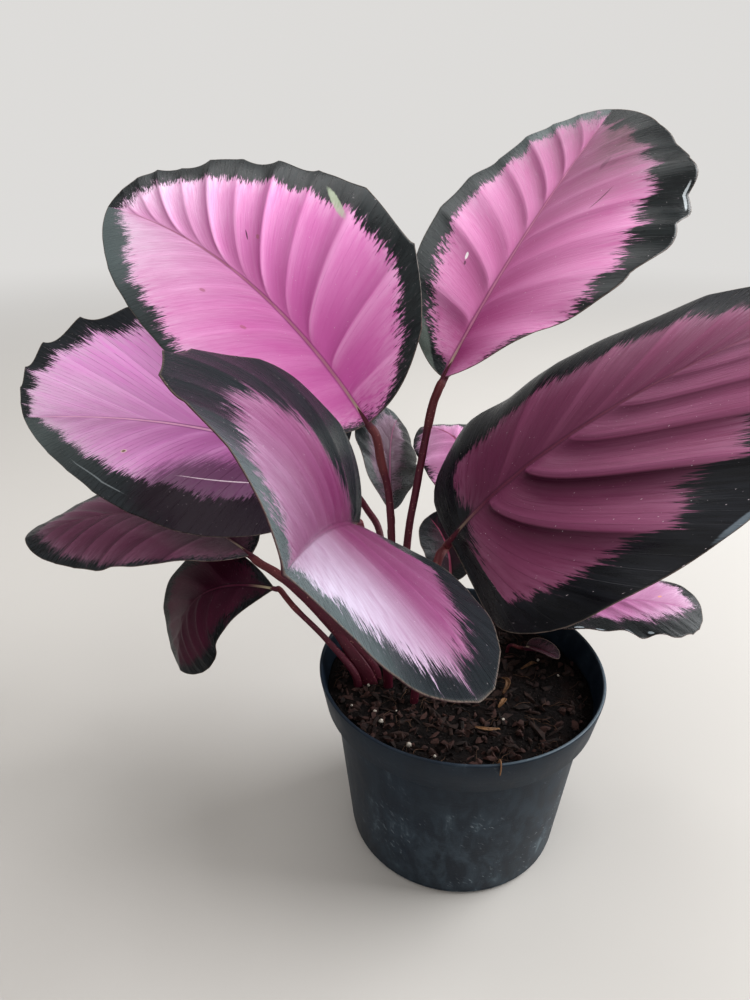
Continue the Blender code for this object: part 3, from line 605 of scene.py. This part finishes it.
class Blade:
    """The upper surface of a leaf as a formula of v, from base to tip, and t, from left edge to right edge."""

    def __init__(self, leaf, seed):
        self.leaf = leaf
        base, tip = np.array(leaf.base) * MM, np.array(leaf.tip) * MM
        chord = tip - base
        face = facing(*leaf.face)
        self.face = unit(face - unit(chord) * (face @ unit(chord)))
        side = np.cross(unit(chord), self.face)
        bend = base + chord * (0.5 + leaf.lean) + 2 * MM * (self.face * leaf.rise + side * leaf.bow)
        u = np.linspace(0, 1, 200)[:, None]
        self.midrib = (1 - u) ** 2 * base + 2 * u * (1 - u) * bend + u ** 2 * tip
        run = distances(self.midrib)
        self.length, self.shares = run[-1], run / run[-1]
        self.ahead = unit(np.gradient(self.midrib, axis=0))
        draw = random.Random(seed)
        self.crests = [np.array((0.5,) + crests + (0.5,) * 10) for crests in leaf.crests]
        self.waves = [(draw.uniform(0.28, 0.62) * leaf.veins, draw.uniform(0, 2 * pi)) for _ in range(4)]

    def along(self, rows, s):
        return np.stack([np.interp(s, self.shares, rows[:, k]) for k in range(3)], axis=-1)

    def half_width(self, s):
        """Share of the full half width: round at the base and blunt at the tip."""
        widest = self.leaf.widest
        rise = 0.5 * widest / (1 - widest)
        s = np.clip(s, 0, 1)
        return s ** rise * (1 - s) ** 0.5 / (widest ** rise * (1 - widest) ** 0.5)

    def place(self, v, t):
        """Share of the midrib's length, reach from it, full half width, and where the side vein ends."""
        leaf, on_left, out = self.leaf, t < 0, np.abs(t)
        sweep = np.where(on_left, *leaf.sweep) * np.minimum(1, v / leaf.onset) ** 1.3
        edge = 1 - (1 - v) ** (1 + sweep)
        s = v + (edge - v) * out ** np.where(on_left, *leaf.path)
        full = leaf.width * MM / 2 * np.where(on_left, leaf.left[0], leaf.right[0])
        return s, full * self.half_width(edge) * out, full, edge

    def ridge(self, v, t):
        """1 on a side vein and 0 in a hollow, the share of the way between two veins, and their strength."""
        on_left = t < 0
        phase = v * self.leaf.veins + np.where(on_left, 0.5, self.leaf.offset)
        number = np.floor(phase).astype(int)
        share = phase - number
        bent = share ** (np.log(0.5) / np.log(np.where(on_left, *self.leaf.hollow)))
        low, high = (np.where(on_left, *(side[n] for side in self.crests)) for n in (number, number + 1))
        blend = smoothstep(0, 1, share)
        return (2 * bent - 1) ** 2, share, low * (1 - blend) + high * blend

    def painted_vein_shading(self, v, t):
        """Above 0 on the steep side of a side vein, in its shade, and below 0 on its lit side."""
        on_left, out = t < 0, np.abs(t)
        _, share, strength = self.ridge(v, t)
        away = np.where(np.where(on_left, *self.leaf.hollow) < 0.5, share, 1 - share)
        line = np.clip(1 - away / 0.45, 0, 1) ** 1.4 - 0.7 * np.clip(1 - (1 - away) / 0.22, 0, 1)
        fade = np.minimum(1, out / 0.07) * (1 - 0.5 * out ** 3)
        return np.where(on_left, *self.leaf.painted_vein_shading) * strength * line * fade

    def points(self, v, t):
        leaf, on_left, out = self.leaf, t < 0, np.abs(t)
        s, reach, full, edge = self.place(v, t)
        width = self.half_width(edge)
        ridge, _, strength = self.ridge(v, t)
        reach = reach * (1 - np.where(on_left, *leaf.scallop) * (1 - ridge) * out ** 5)

        ahead = unit(self.along(self.ahead, s))
        up = unit(self.face - ahead * (ahead @ self.face)[..., None])
        side = np.cross(ahead, up)
        spin = np.radians(leaf.twist) * s[..., None]
        up, side = up * np.cos(spin) + side * np.sin(spin), side * np.cos(spin) - up * np.sin(spin)

        halves = (np.where(on_left, *pair) for pair in zip(leaf.left, leaf.right))
        _, fold_base, fold_tip, roll_base, roll_tip = halves
        fold = np.radians(fold_base + (fold_tip - fold_base) * s)
        roll = np.radians(roll_base + (roll_tip - roll_base) * s) / full
        roll = np.where(np.abs(roll) < 0.01, 0.01, roll)
        tilt = fold + roll * reach
        sign = np.where(on_left, -1.0, 1.0)
        across = sign * (np.sin(tilt) - np.sin(fold)) / roll
        lift = (np.cos(fold) - np.cos(tilt)) / roll
        normal = up * np.cos(tilt)[..., None] - side * (sign * np.sin(tilt))[..., None]

        stand = np.where(on_left, *leaf.ridge) * strength * (ridge - 0.33)
        stand = stand * np.minimum(1, out / 0.10) * (0.35 + 0.65 * width) * (1 - 0.6 * out ** 4)
        turn = np.where(on_left, 0, 1.9)
        waves = sum(np.sin(2 * pi * count * edge + shift + turn) for count, shift in self.waves)
        ruffle = np.where(on_left, *leaf.ruffle) * waves / 2 * out ** 2.5 * width
        groove = -0.30 * np.exp(-(reach / (0.7 * MM)) ** 2) * (1 - 0.7 * s)
        height = (stand + ruffle + groove) * MM * np.minimum(1, width / 0.35)
        place = self.along(self.midrib, s) + side * across[..., None] + up * lift[..., None]
        return place + normal * height[..., None]


def edge_distance(blade, v, t):
    """Distance from each place on the flat blade to its outline, in millimetres."""
    def flat(v, t):
        s, reach, _, _ = blade.place(v, t)
        return np.stack([s * blade.length, np.sign(t) * reach], axis=-1).reshape(-1, 2)

    places, far = flat(v, t), np.linspace(0, 1, OUTLINE_POINTS)
    nearest = np.full(len(places), np.inf)
    for sign in (-1.0, 1.0):
        line = flat(far, np.full(far.shape, sign))
        run = np.diff(line, axis=0)
        size = np.maximum((run ** 2).sum(-1), 1e-12)
        for start in range(0, len(places), BATCH):
            part = places[start:start + BATCH, None, :] - line[:-1]
            share = np.clip((part * run).sum(-1) / size, 0, 1)
            gap = np.linalg.norm(part - share[..., None] * run, axis=-1).min(axis=1)
            nearest[start:start + BATCH] = np.minimum(nearest[start:start + BATCH], gap)
    return nearest.reshape(v.shape) / MM


def make_blade(name, leaf, seed):
    """The leaf's blade as one closed mesh: rows from base to tip that meet in one point at each end."""
    blade = Blade(leaf, seed)
    large = leaf.width > LARGE_LEAF
    density = 1 if large else 0.7
    u = np.linspace(0, 1, int(leaf.veins * ROWS_PER_VEIN * density) + 8)
    v = 0.75 * u + 0.25 * (0.5 - 0.5 * np.cos(pi * u))
    half = 1 - (1 - np.linspace(0, 1, int(HALF_COLUMNS * density) + 1)) ** 1.15
    v, t = np.meshgrid(v, np.concatenate([-half[::-1], half[1:]]), indexing="ij")

    top = blade.points(v, t)
    normal = np.cross(np.gradient(top, axis=1), np.gradient(top, axis=0))
    length = np.linalg.norm(normal, axis=-1, keepdims=True)
    normal = np.where(length > 1e-12, normal / np.maximum(length, 1e-12), blade.face)
    normal[0], normal[-1] = normal[1].mean(axis=0), normal[-2].mean(axis=0)
    s, reach, _, _ = blade.place(v, t)
    rib = (1.5 * (1 - s) ** 0.7 + 0.15) * (1 if large else 0.6) * MM * np.exp(-(reach / (1.1 * MM)) ** 2)
    thick = EDGE + (BLADE - EDGE) * (1 - np.abs(t) ** 6) + rib
    under = top - normal * thick[..., None]

    rows, columns = v.shape
    inner = (rows - 2) * columns
    count = inner + 2
    index = np.empty((rows, columns), int)
    index[0], index[-1] = 0, inner + 1
    index[1:-1] = np.arange(1, inner + 1).reshape(rows - 2, columns)

    def listed(grid):
        """The grid's values in the order of the vertices."""
        ends = grid[:1, columns // 2], grid[-1:, columns // 2]
        return np.concatenate([ends[0], grid[1:-1].reshape(inner, *grid.shape[2:]), ends[1]])

    left, right = (grid_faces(np.stack([index[:, c], index[:, c] + count], axis=1)) for c in (0, -1))
    faces = [face[::-1] for face in grid_faces(index) + right] + grid_faces(index + count) + left
    mesh = new_mesh(f"blade_{name}", np.concatenate([listed(top), listed(under)]), faces)
    edge = edge_distance(blade, v, t)
    margin = np.where(t < 0, *(np.interp(v, np.linspace(0, 1, len(widths)), widths) for widths in leaf.margin))
    ridge, share, _ = blade.ridge(v, t)
    step = np.where(t < 0, *leaf.steps) * (0.5 - share)
    values = {
        "leaf": np.stack([v, t, edge - margin + step], axis=-1),
        "ridge": ridge * np.minimum(1, np.abs(t) / 0.05),
        "painted_vein_shading": blade.painted_vein_shading(v, t),
        "edge": edge,
        "reach": reach / MM,
    }
    for key, grid in values.items():
        store(mesh, key, np.concatenate([listed(grid)] * 2))
    store(mesh, "under", np.repeat([0.0, 1.0], count))
    mesh.shade_smooth()
    add_piece(new_object(mesh), leaf_material(name, leaf, seed), f"leaf_{name}")
    return blade


# Stems


def spline_through(points, per_span):
    """A smooth line through the points."""
    points = [2 * points[0] - points[1], *points, 2 * points[-1] - points[-2]]
    u = np.arange(per_span)[:, None] / per_span
    spans = []
    for a, b, c, d in zip(points, points[1:], points[2:], points[3:]):
        bend, twist = 2 * a - 5 * b + 4 * c - d, 3 * b - a - 3 * c + d
        spans.append(0.5 * (2 * b + (c - a) * u + bend * u ** 2 + twist * u ** 3))
    return np.concatenate(spans + [points[-2][None]])


def tube(line, radii, sides, squash=1.0):
    """Rings of points round a line, each squashed to that share of its breadth."""
    ahead = unit(np.gradient(line, axis=0))
    side = unit(np.cross(ahead[0], [0.0, 1.0, 0.0]))
    around = np.linspace(0, 2 * pi, sides, endpoint=False)[:, None]
    rings = []
    for place, way, radius, flat in zip(line, ahead, radii, np.broadcast_to(squash, len(line))):
        side = unit(side - way * (side @ way))
        rings.append(place + radius * (np.cos(around) * side + flat * np.sin(around) * np.cross(way, side)))
    return np.array(rings)


def add_stem(name, line, radii, squash, along, swell, mat, node=None):
    """A closed tube that knows how far along and around it each point is, and how swollen it is there."""
    rings = tube(line, radii, STEM_SIDES, squash)
    index = closed_rings(len(rings), STEM_SIDES)
    ends = np.array([rings[0].mean(axis=0), rings[-1].mean(axis=0)])
    faces = [face[::-1] for face in grid_faces(index)]
    last = int(index.max())
    for ring, middle in ((index[0], last + 1), (index[-1][::-1], last + 2)):
        faces += [(a, b, middle) for a, b in zip(ring[:-1].tolist(), ring[1:].tolist())]
    mesh = new_mesh(name, np.concatenate([rings.reshape(-1, 3), ends]), faces)
    turn = np.tile(np.linspace(0, 1, STEM_SIDES, endpoint=False), len(line))
    values = np.stack([np.repeat(along, STEM_SIDES), turn, np.repeat(swell, STEM_SIDES)], axis=-1)
    store(mesh, "stem", np.concatenate([values, values[:1], values[-1:]]))
    mesh.shade_smooth()
    add_piece(new_object(mesh), mat, node)


def make_stem(name, leaf, blade, mat):
    """The leaf's stem, from inside the soil to under the blade, with a swollen joint at its upper end."""
    ahead = blade.ahead[0]
    up = unit(blade.face - ahead * (blade.face @ ahead))
    large = leaf.width > LARGE_LEAF
    end = blade.midrib[0] - up * (0.0009 if large else 0.0006) - ahead * STEM_TO_BLADE
    foot, collar = (np.array([*leaf.crown, height]) * MM for height in (STEM_FOOT, leaf.collar))
    through = [np.array(point) * MM for point in leaf.through]
    runs_on = [blade.along(blade.midrib, np.array(s)) - up * drop * MM for s, drop in UNDER_MIDRIB]
    line = spline_through([foot, collar, *through, end - ahead * leaf.lead * MM, end, *runs_on], STEM_STEPS)

    run = distances(line)
    reach = run[-1 - STEM_STEPS * len(UNDER_MIDRIB)]
    share = run / reach
    neck = min(leaf.foot, next(radius for width, radius in NECKS if leaf.width > width))
    radii = (leaf.foot + (neck - leaf.foot) * smoothstep(*leaf.taper, share)) * MM
    swollen = min(SWOLLEN_LENGTH, 0.3 * reach)
    swell = smoothstep(reach - swollen, reach - 0.8 * swollen, run)
    swell = swell * (1 - smoothstep(reach - 0.002, reach, run))
    radii = radii * (1 + (0.16 if large else 0.1) * swell) * (1 - 0.72 * smoothstep(1.0, share[-1], share))
    radii = radii * np.array([1 + 0.05 * noise.noise(Vector(place) * 180) for place in line])
    squash = 1 - leaf.flat * (1 - smoothstep(0.3, 0.8, share))
    add_stem(f"petiole_{name}", line, radii, squash, run, swell, mat, f"stem_{name}")


def make_sheath(mat):
    """The broad flat sheath at the foot of the lower left stem."""
    points = np.array(((-38, -3, 73), (-42, -1.5, 82), (-48, 2, 90), (-57, 9.5, 98.5), (-66, 16, 104))) * MM
    line = spline_through(points, 8)
    share = np.linspace(0, 1, len(line))
    radii = (3.6 - 2.3 * smoothstep(0.1, 0.9, share)) * MM
    add_stem("sheath", line, radii, 0.42, share * 0.04, share * 0, mat)


# Pot


def arc(centre, radius, start, end, count):
    """Points of a profile's rounded corner, by angle in degrees."""
    angles = [radians(start + (end - start) * i / (count - 1)) for i in range(count)]
    return [(centre[0] + radius * cos(a), centre[1] + radius * sin(a)) for a in angles]


def pot_profile():
    """The inner side from the axis up to the lip, then the outer side down to the underside."""
    return [
        (0, FLOOR),
        (BODY_BASE_RADIUS - WALL - 0.003, FLOOR),
        (BODY_BASE_RADIUS - WALL - 0.0005, FLOOR + 0.002),
        (BODY_TOP_RADIUS - WALL, SKIRT_FOOT - 0.001),
        (SKIRT_RADIUS - WALL, SKIRT_FOOT + 0.0016),
        (RIM_RADIUS - WALL - 0.0006, POT_HEIGHT - 0.0012),
        *arc((RIM_RADIUS - LIP, POT_HEIGHT - LIP), LIP, 160, -20, 9),
        (RIM_RADIUS - 0.0002, POT_HEIGHT - 0.0022),
        (SKIRT_RADIUS + 0.0002, SKIRT_FOOT + 0.0010),
        *arc((SKIRT_RADIUS - 0.0008, SKIRT_FOOT + 0.0009), 0.0009, 0, -90, 6),
        (BODY_TOP_RADIUS + 0.0009, SKIRT_FOOT),
        (BODY_TOP_RADIUS + 0.0002, SKIRT_FOOT - 0.0003),
        (BODY_TOP_RADIUS, SKIRT_FOOT - 0.0010),
        (BODY_BASE_RADIUS + 0.0005, 0.0036),
        *arc((BODY_BASE_RADIUS - 0.0026, 0.0029), 0.0029, 5, -90, 8),
        (0, 0),
    ]


def cut(obj, name, segments, radius, depth, matrix):
    """Gives the object a modifier that cuts a cylinder out of it, and returns the cylinder."""
    bm = bmesh.new()
    bmesh.ops.create_cone(bm, cap_ends=True, segments=segments, radius1=radius, radius2=radius, depth=depth,
                          matrix=matrix)
    cutter = new_object(mesh_from(name, bm))
    boolean = obj.modifiers.new(name, "BOOLEAN")
    boolean.operation = "DIFFERENCE"
    boolean.object = cutter
    boolean.solver = "EXACT"
    return cutter


def make_pot():
    """The turned wall, with low arches in its foot and drain holes between them and the middle."""
    bm = bmesh.new()
    verts = [bm.verts.new((r, 0, z)) for r, z in pot_profile()]
    edges = [bm.edges.new(pair) for pair in zip(verts, verts[1:])]
    bmesh.ops.spin(bm, geom=verts + edges, cent=(0, 0, 0), axis=(0, 0, 1), angle=2 * pi, steps=POT_STEPS)
    bmesh.ops.remove_doubles(bm, verts=bm.verts, dist=0.000005)
    bmesh.ops.recalc_face_normals(bm, faces=bm.faces)
    pot = new_object(mesh_from("nursery_pot", bm))

    start = DRAIN_RING - 0.005
    length = BODY_BASE_RADIUS + NOTCH_END - start
    lying = Matrix.Translation((start + length / 2, 0, 0)) @ Matrix.Rotation(pi / 2, 4, "Y")
    arch = lying @ Matrix.Diagonal((2 * NOTCH_HEIGHT, NOTCH_WIDTH, 1, 1))
    cutters = []
    for i in range(NOTCH_COUNT):
        angle = 2 * pi * (i + 0.25) / NOTCH_COUNT
        drain = Matrix.Translation((*polar(angle, DRAIN_RING), 0.004))
        cutters.append(cut(pot, f"notch {i}", 48, 0.5, length, Matrix.Rotation(angle, 4, "Z") @ arch))
        cutters.append(cut(pot, f"drain {i}", 32, DRAIN_RADIUS, 0.01, drain))
    graph = bpy.context.evaluated_depsgraph_get()
    made = bpy.data.meshes.new_from_object(pot.evaluated_get(graph))
    pot.modifiers.clear()
    pot.data = made
    for cutter in cutters:
        bpy.data.objects.remove(cutter)
    made.shade_smooth()
    made.set_sharp_from_angle(angle=radians(38))
    add_piece(pot, pot_material(), "pot")


# Soil


def soil_height(x, y):
    """The uneven top of the soil: lumps, higher at the front left and sunk towards the right wall."""
    lumps = noise.noise(Vector((x * 90, y * 90, 3.1))) + 0.6 * noise.noise(Vector((x * 190, y * 190, 7.7)))
    return SOIL_TOP + SOIL_SWELL * lumps - 0.02 * x - 0.018 * y


def make_soil_bed():
    """The peat, with a fine crumb over the CAD lumps."""
    share = (SOIL_TOP - SKIRT_FOOT - 0.0016) / (SKIRT_HEIGHT - 0.0028)
    full = SKIRT_RADIUS - WALL + share * (RIM_RADIUS - 0.0006 - SKIRT_RADIUS) - 0.0003
    points = []
    for i in range(SOIL_RINGS):
        reach = i / (SOIL_RINGS - 1) * full
        drop = 0.0012 * max(0, (reach - 0.050) / 0.007)
        for j in range(SOIL_SECTORS):
            x, y = polar(2 * pi * j / SOIL_SECTORS, reach)
            place = Vector((x, y, 0.5))
            crumb = sum(size * noise.noise(place * scale) for size, scale in SOIL_CRUMB)
            points.append((x, y, soil_height(x, y) + 0.0009 * crumb - drop))
    wall = (BODY_TOP_RADIUS - WALL - 0.0006, SKIRT_FOOT)
    base = (BODY_BASE_RADIUS - WALL - 0.0035, FLOOR + 0.0003)
    for reach, z in (wall, base):
        points += [(*polar(2 * pi * j / SOIL_SECTORS, reach), z) for j in range(SOIL_SECTORS)]
    index = closed_rings(SOIL_RINGS + 2, SOIL_SECTORS) - (SOIL_SECTORS - 1)
    index[0] = 0
    faces = grid_faces(index) + [tuple(index[-1, :-1].tolist())]
    mesh = new_mesh("soil_bed", points[SOIL_SECTORS - 1:], faces)
    mesh.flip_normals()
    mesh.shade_smooth()
    add_piece(new_object(mesh), soil_material(), "soil")


class Heap:
    """Many small shapes joined in one mesh, each with its own tone."""

    def __init__(self):
        self.points, self.faces, self.tones, self.count = [], [], [], 0

    def add(self, points, faces, tone):
        self.points.append(points)
        self.faces += [tuple(k + self.count for k in face) for face in faces]
        self.tones.append(np.full(len(points), tone))
        self.count += len(points)

    def add_rings(self, rings, tone):
        index = closed_rings(*rings.shape[:2])
        ends = [tuple(index[0, -2::-1].tolist()), tuple(index[-1, :-1].tolist())]
        self.add(rings.reshape(-1, 3), grid_faces(index) + ends, tone)

    def finish(self, name, mat, smooth=True):
        mesh = new_mesh(name, np.concatenate(self.points), self.faces)
        store(mesh, "tone", np.concatenate(self.tones))
        if smooth:
            mesh.shade_smooth()
        add_piece(new_object(mesh), mat)


def corners_and_faces(bm):
    """The bmesh's points and faces. The bmesh is freed."""
    bm.verts.index_update()
    points = np.array([tuple(vert.co) for vert in bm.verts])
    faces = [tuple(vert.index for vert in face.verts) for face in bm.faces]
    bm.free()
    return points, faces


def angular_lump(draw, corners):
    """A chip's shape: the hull of points on a rough ball."""
    bm = bmesh.new()
    for _ in range(corners):
        way = Vector((draw.gauss(0, 1), draw.gauss(0, 1), draw.gauss(0, 1))).normalized()
        bm.verts.new(way * draw.uniform(0.8, 1.15))
    bmesh.ops.convex_hull(bm, input=bm.verts)
    bmesh.ops.delete(bm, geom=[v for v in bm.verts if not v.link_faces], context="VERTS")
    return corners_and_faces(bm)


def clear_of_stems(x, y, gap):
    return all((x - leaf.crown[0] * MM) ** 2 + (y - leaf.crown[1] * MM) ** 2 > (leaf.foot * MM + gap) ** 2
               for leaf in LEAVES.values())


def scatter(draw, count, reach, size, lumps, where=None):
    """Strews lumps over the soil. size gives the limits of length, breadth and height in millimetres."""
    heap = Heap()
    for _ in range(count):
        turn, out = draw.uniform(0, 2 * pi), reach * draw.random() ** 0.5
        x, y = polar(turn, out)
        if where and draw.random() > where(x, y):
            continue
        scale = np.array([draw.uniform(*limits) for limits in size]) * MM
        if out + scale[0] > reach or not clear_of_stems(x, y, scale[0] * 0.6 + 0.0006):
            continue
        points, faces = draw.choice(lumps)
        turned = Matrix.Rotation(draw.uniform(0, 2 * pi), 3, "Z") @ Matrix.Rotation(draw.gauss(0, 0.5), 3, "X")
        placed = (points * scale) @ np.array(turned).T + (x, y, soil_height(x, y) + scale[2] * 0.4)
        heap.add(placed, faces, draw.uniform(0, 1))
    return heap


def make_chips():
    """Coconut chips, most of them at the front left, bark, and peat crumbs, most of them at the back right."""
    draw = random.Random(5)
    lumps = [angular_lump(draw, 11) for _ in range(24)]
    small = [angular_lump(draw, 8) for _ in range(16)]

    def front_left(x, y):
        return 0.25 + 0.75 / (1 + np.exp((x * 0.8 + y * 0.5 - 0.006) / 0.008))

    def back_right(x, y):
        return 1.075 - 0.5 * front_left(x, y)

    heaps = (
        ("coco_chips", 760, CHIP_REACH, ((0.9, 3.4), (0.6, 2.0), (0.5, 1.7)), lumps, front_left),
        ("bark_chips", 210, CHIP_REACH, ((1.8, 6.4), (0.8, 2.3), (0.5, 1.6)), lumps, None),
        ("peat_crumbs", 4200, CRUMB_REACH, ((0.3, 0.9), (0.25, 0.7), (0.2, 0.5)), small, back_right),
    )
    looks = (("0b0505", "432c27", 420), ("080504", "33221d", 500), ("080605", "241a17", 1100))
    for (name, *rest), (dark, light, scale) in zip(heaps, looks):
        scatter(draw, *rest).finish(name, crumb_material(name, dark, light, scale=scale), smooth=False)


def make_perlite():
    """White perlite beads: five where they show, and nine strewn over the soil."""
    draw = random.Random(3)
    heap = Heap()
    spots = [(-23.5, -41.5, 1.0), (-36.5, -22, 0.7), (-34, -28, 0.9), (-14, -47, 0.6), (-46, -18, 0.5)]
    for _ in range(9):
        turn, out = draw.uniform(0, 2 * pi), draw.uniform(10, 50)
        spots.append((*polar(turn, out), draw.uniform(0.35, 0.8)))
    for x, y, r in spots:
        bm = bmesh.new()
        bmesh.ops.create_icosphere(bm, subdivisions=3, radius=r * MM)
        for vert in bm.verts:
            vert.co *= 1 + 0.35 * noise.noise(vert.co * 2200 + Vector((x, y, 0)))
        points, faces = corners_and_faces(bm)
        place = (x * MM, y * MM, soil_height(x * MM, y * MM) + 0.0011)
        heap.add(points + place, faces, draw.uniform(0.6, 1.0))
    heap.finish("perlite", crumb_material("perlite", "6b645c", "b3aca2", 0.6, 2500))


def ribbon(line, width, up, thickness, curl):
    """A thin closed strip along a line, curled across its width."""
    ahead = unit(np.gradient(line, axis=0))
    side = unit(np.cross(ahead, np.array(up)))
    normal = np.cross(side, ahead)[:, None]
    side = side[:, None]
    turn = (np.linspace(-1, 1, 7) * curl)[:, None]
    taper = np.sin(np.linspace(0.25, pi - 0.25, len(line)))[:, None, None]
    across = (side * np.sin(turn) + normal * (1 - np.cos(turn))) / curl
    top = line[:, None] + across * width / 2 * taper
    under = top - (normal * np.cos(turn) - side * np.sin(turn)) * thickness
    return np.concatenate([top, under[:, ::-1]], axis=1)


def make_husks():
    """Dry curled husks on the soil, and a sliver of bark over the rim."""
    draw = random.Random(8)
    heap = Heap()
    strips = (
        (((17.5, -9.5, 1.6), (19.6, -6.5, 3.6), (19.8, -3.0, 3.9), (18.2, 0.5, 2.2)), 2.6, 1.6),
        (((14.0, -19.0, 1.4), (16.2, -16.8, 3.0), (17.6, -13.6, 2.4)), 2.4, 1.5),
        (((28, 8, 1.0), (33, 9.5, 3.4), (36, 13, 1.6)), 2.0, 1.4),
        (((3, -30, 0.8), (8, -31.5, 2.0), (13, -30, 0.9)), 1.8, 1.2),
    )
    for points, width, curl in strips:
        line = np.array([(x * MM, y * MM, soil_height(x * MM, y * MM) + z * MM) for x, y, z in points])
        rings = ribbon(spline_through(line, 8), width * MM, (0, 0, 1), 0.00025, curl)
        heap.add_rings(rings, draw.uniform(0.4, 1.0))
    heap.finish("husks", crumb_material("husk", "2c1d14", "7a5a3c", 0.7, 700))

    sliver = Heap()
    x, y = polar(radians(-82), RIM_RADIUS * 0.985)
    over_rim = ((0.955, -0.004), (0.985, 0.0004), (1.012, 0.0007), (1.022, -0.0012), (1.020, -0.0045))
    line = np.array([(x * share, y * share, POT_HEIGHT + height) for share, height in over_rim])
    sliver.add_rings(ribbon(spline_through(line, 6), 0.0012, (1, 0, 0), 0.00035, 0.6), 0.6)
    sliver.finish("bark_sliver", crumb_material("sliver", "5a4030", "8c6a4d", 0.8, 900))


def make_fibres():
    """Fine roots and coir threads that lie over the soil, lower at their ends."""
    draw = random.Random(21)
    heap = Heap()
    for _ in range(150):
        x, y = polar(draw.uniform(0, 2 * pi), 0.053 * draw.random() ** 0.5)
        way = draw.uniform(0, 2 * pi)
        line = []
        for k in range(5):
            if (x * x + y * y) ** 0.5 > CHIP_REACH:
                break
            lift = (0.0006 + 0.0012 * draw.random()) * (0.4 if k in (0, 4) else 1)
            line.append(np.array((x, y, soil_height(x, y) + lift)))
            way += draw.uniform(-0.7, 0.7)
            x, y = x + 0.0019 * cos(way), y + 0.0019 * sin(way)
        if len(line) < 3:
            continue
        line = spline_through(line, 3)
        rings = tube(line, np.full(len(line), draw.uniform(0.00006, 0.00014)), 4)
        heap.add_rings(rings, draw.uniform(0, 1))
    heap.finish("fibres", crumb_material("fibre", "22150f", "5d4434", 0.8))


# Stage


def add_floor():
    bpy.ops.mesh.primitive_circle_add(vertices=96, radius=7, fill_type="NGON", location=(0, 0, 0))
    floor = bpy.context.object
    floor.name = "floor"
    floor.data.materials.append(floor_material())


def add_light(name, azimuth, elevation, size, power, tint):
    """A square soft box that looks at the leaves."""
    data = bpy.data.lights.new(name, "AREA")
    data.size, data.energy, data.color = size, power, tint
    obj = new_object(data)
    obj.location = LIGHT_TARGET + LIGHT_DISTANCE * Vector(facing(azimuth, elevation))
    obj.rotation_euler = (LIGHT_TARGET - obj.location).to_track_quat("-Z", "Y").to_euler()


def add_world():
    """Even light all round, and a brighter backdrop where the camera sees it."""
    world = bpy.data.worlds.new("studio")
    world.use_nodes = True
    tree = world.node_tree
    back = tree.nodes["Background"]
    back.inputs["Color"].default_value = BACKGROUND_TINT
    seen = tree.nodes.new("ShaderNodeLightPath").outputs["Is Camera Ray"]
    level = tree.nodes.new("ShaderNodeMapRange")
    level.inputs["To Min"].default_value = WORLD_LIGHT
    level.inputs["To Max"].default_value = BACKGROUND_LIGHT
    tree.links.new(seen, level.inputs["Value"])
    tree.links.new(level.outputs["Result"], back.inputs["Strength"])
    bpy.context.scene.world = world
    bpy.context.scene.view_settings.view_transform = "Standard"
    bpy.context.scene.view_settings.look = "Medium High Contrast"


def add_camera():
    data = bpy.data.cameras.new("camera")
    data.sensor_width = SENSOR
    data.lens = FOCAL_PIXELS / LONG_SIDE_PIXELS * SENSOR
    data.clip_start = 0.01
    camera = new_object(data)
    pitch = Matrix.Rotation(radians(90 - CAMERA_PITCH), 4, "X")
    roll = Matrix.Rotation(radians(CAMERA_ROLL), 4, "Z")
    camera.matrix_world = Matrix.Translation(CAMERA_PLACE) @ pitch @ roll
    bpy.context.scene.camera = camera


def main():
    add_floor()
    for light in LIGHTS:
        add_light(*light)
    add_world()
    add_camera()
    make_pot()
    make_soil_bed()
    make_chips()
    make_perlite()
    make_husks()
    make_fibres()
    stem = stem_material()
    for number, (name, leaf) in enumerate(LEAVES.items()):
        blade = make_blade(name, leaf, 10 * number + 1)
        make_stem(name, leaf, blade, stem)
    make_sheath(stem)


main()
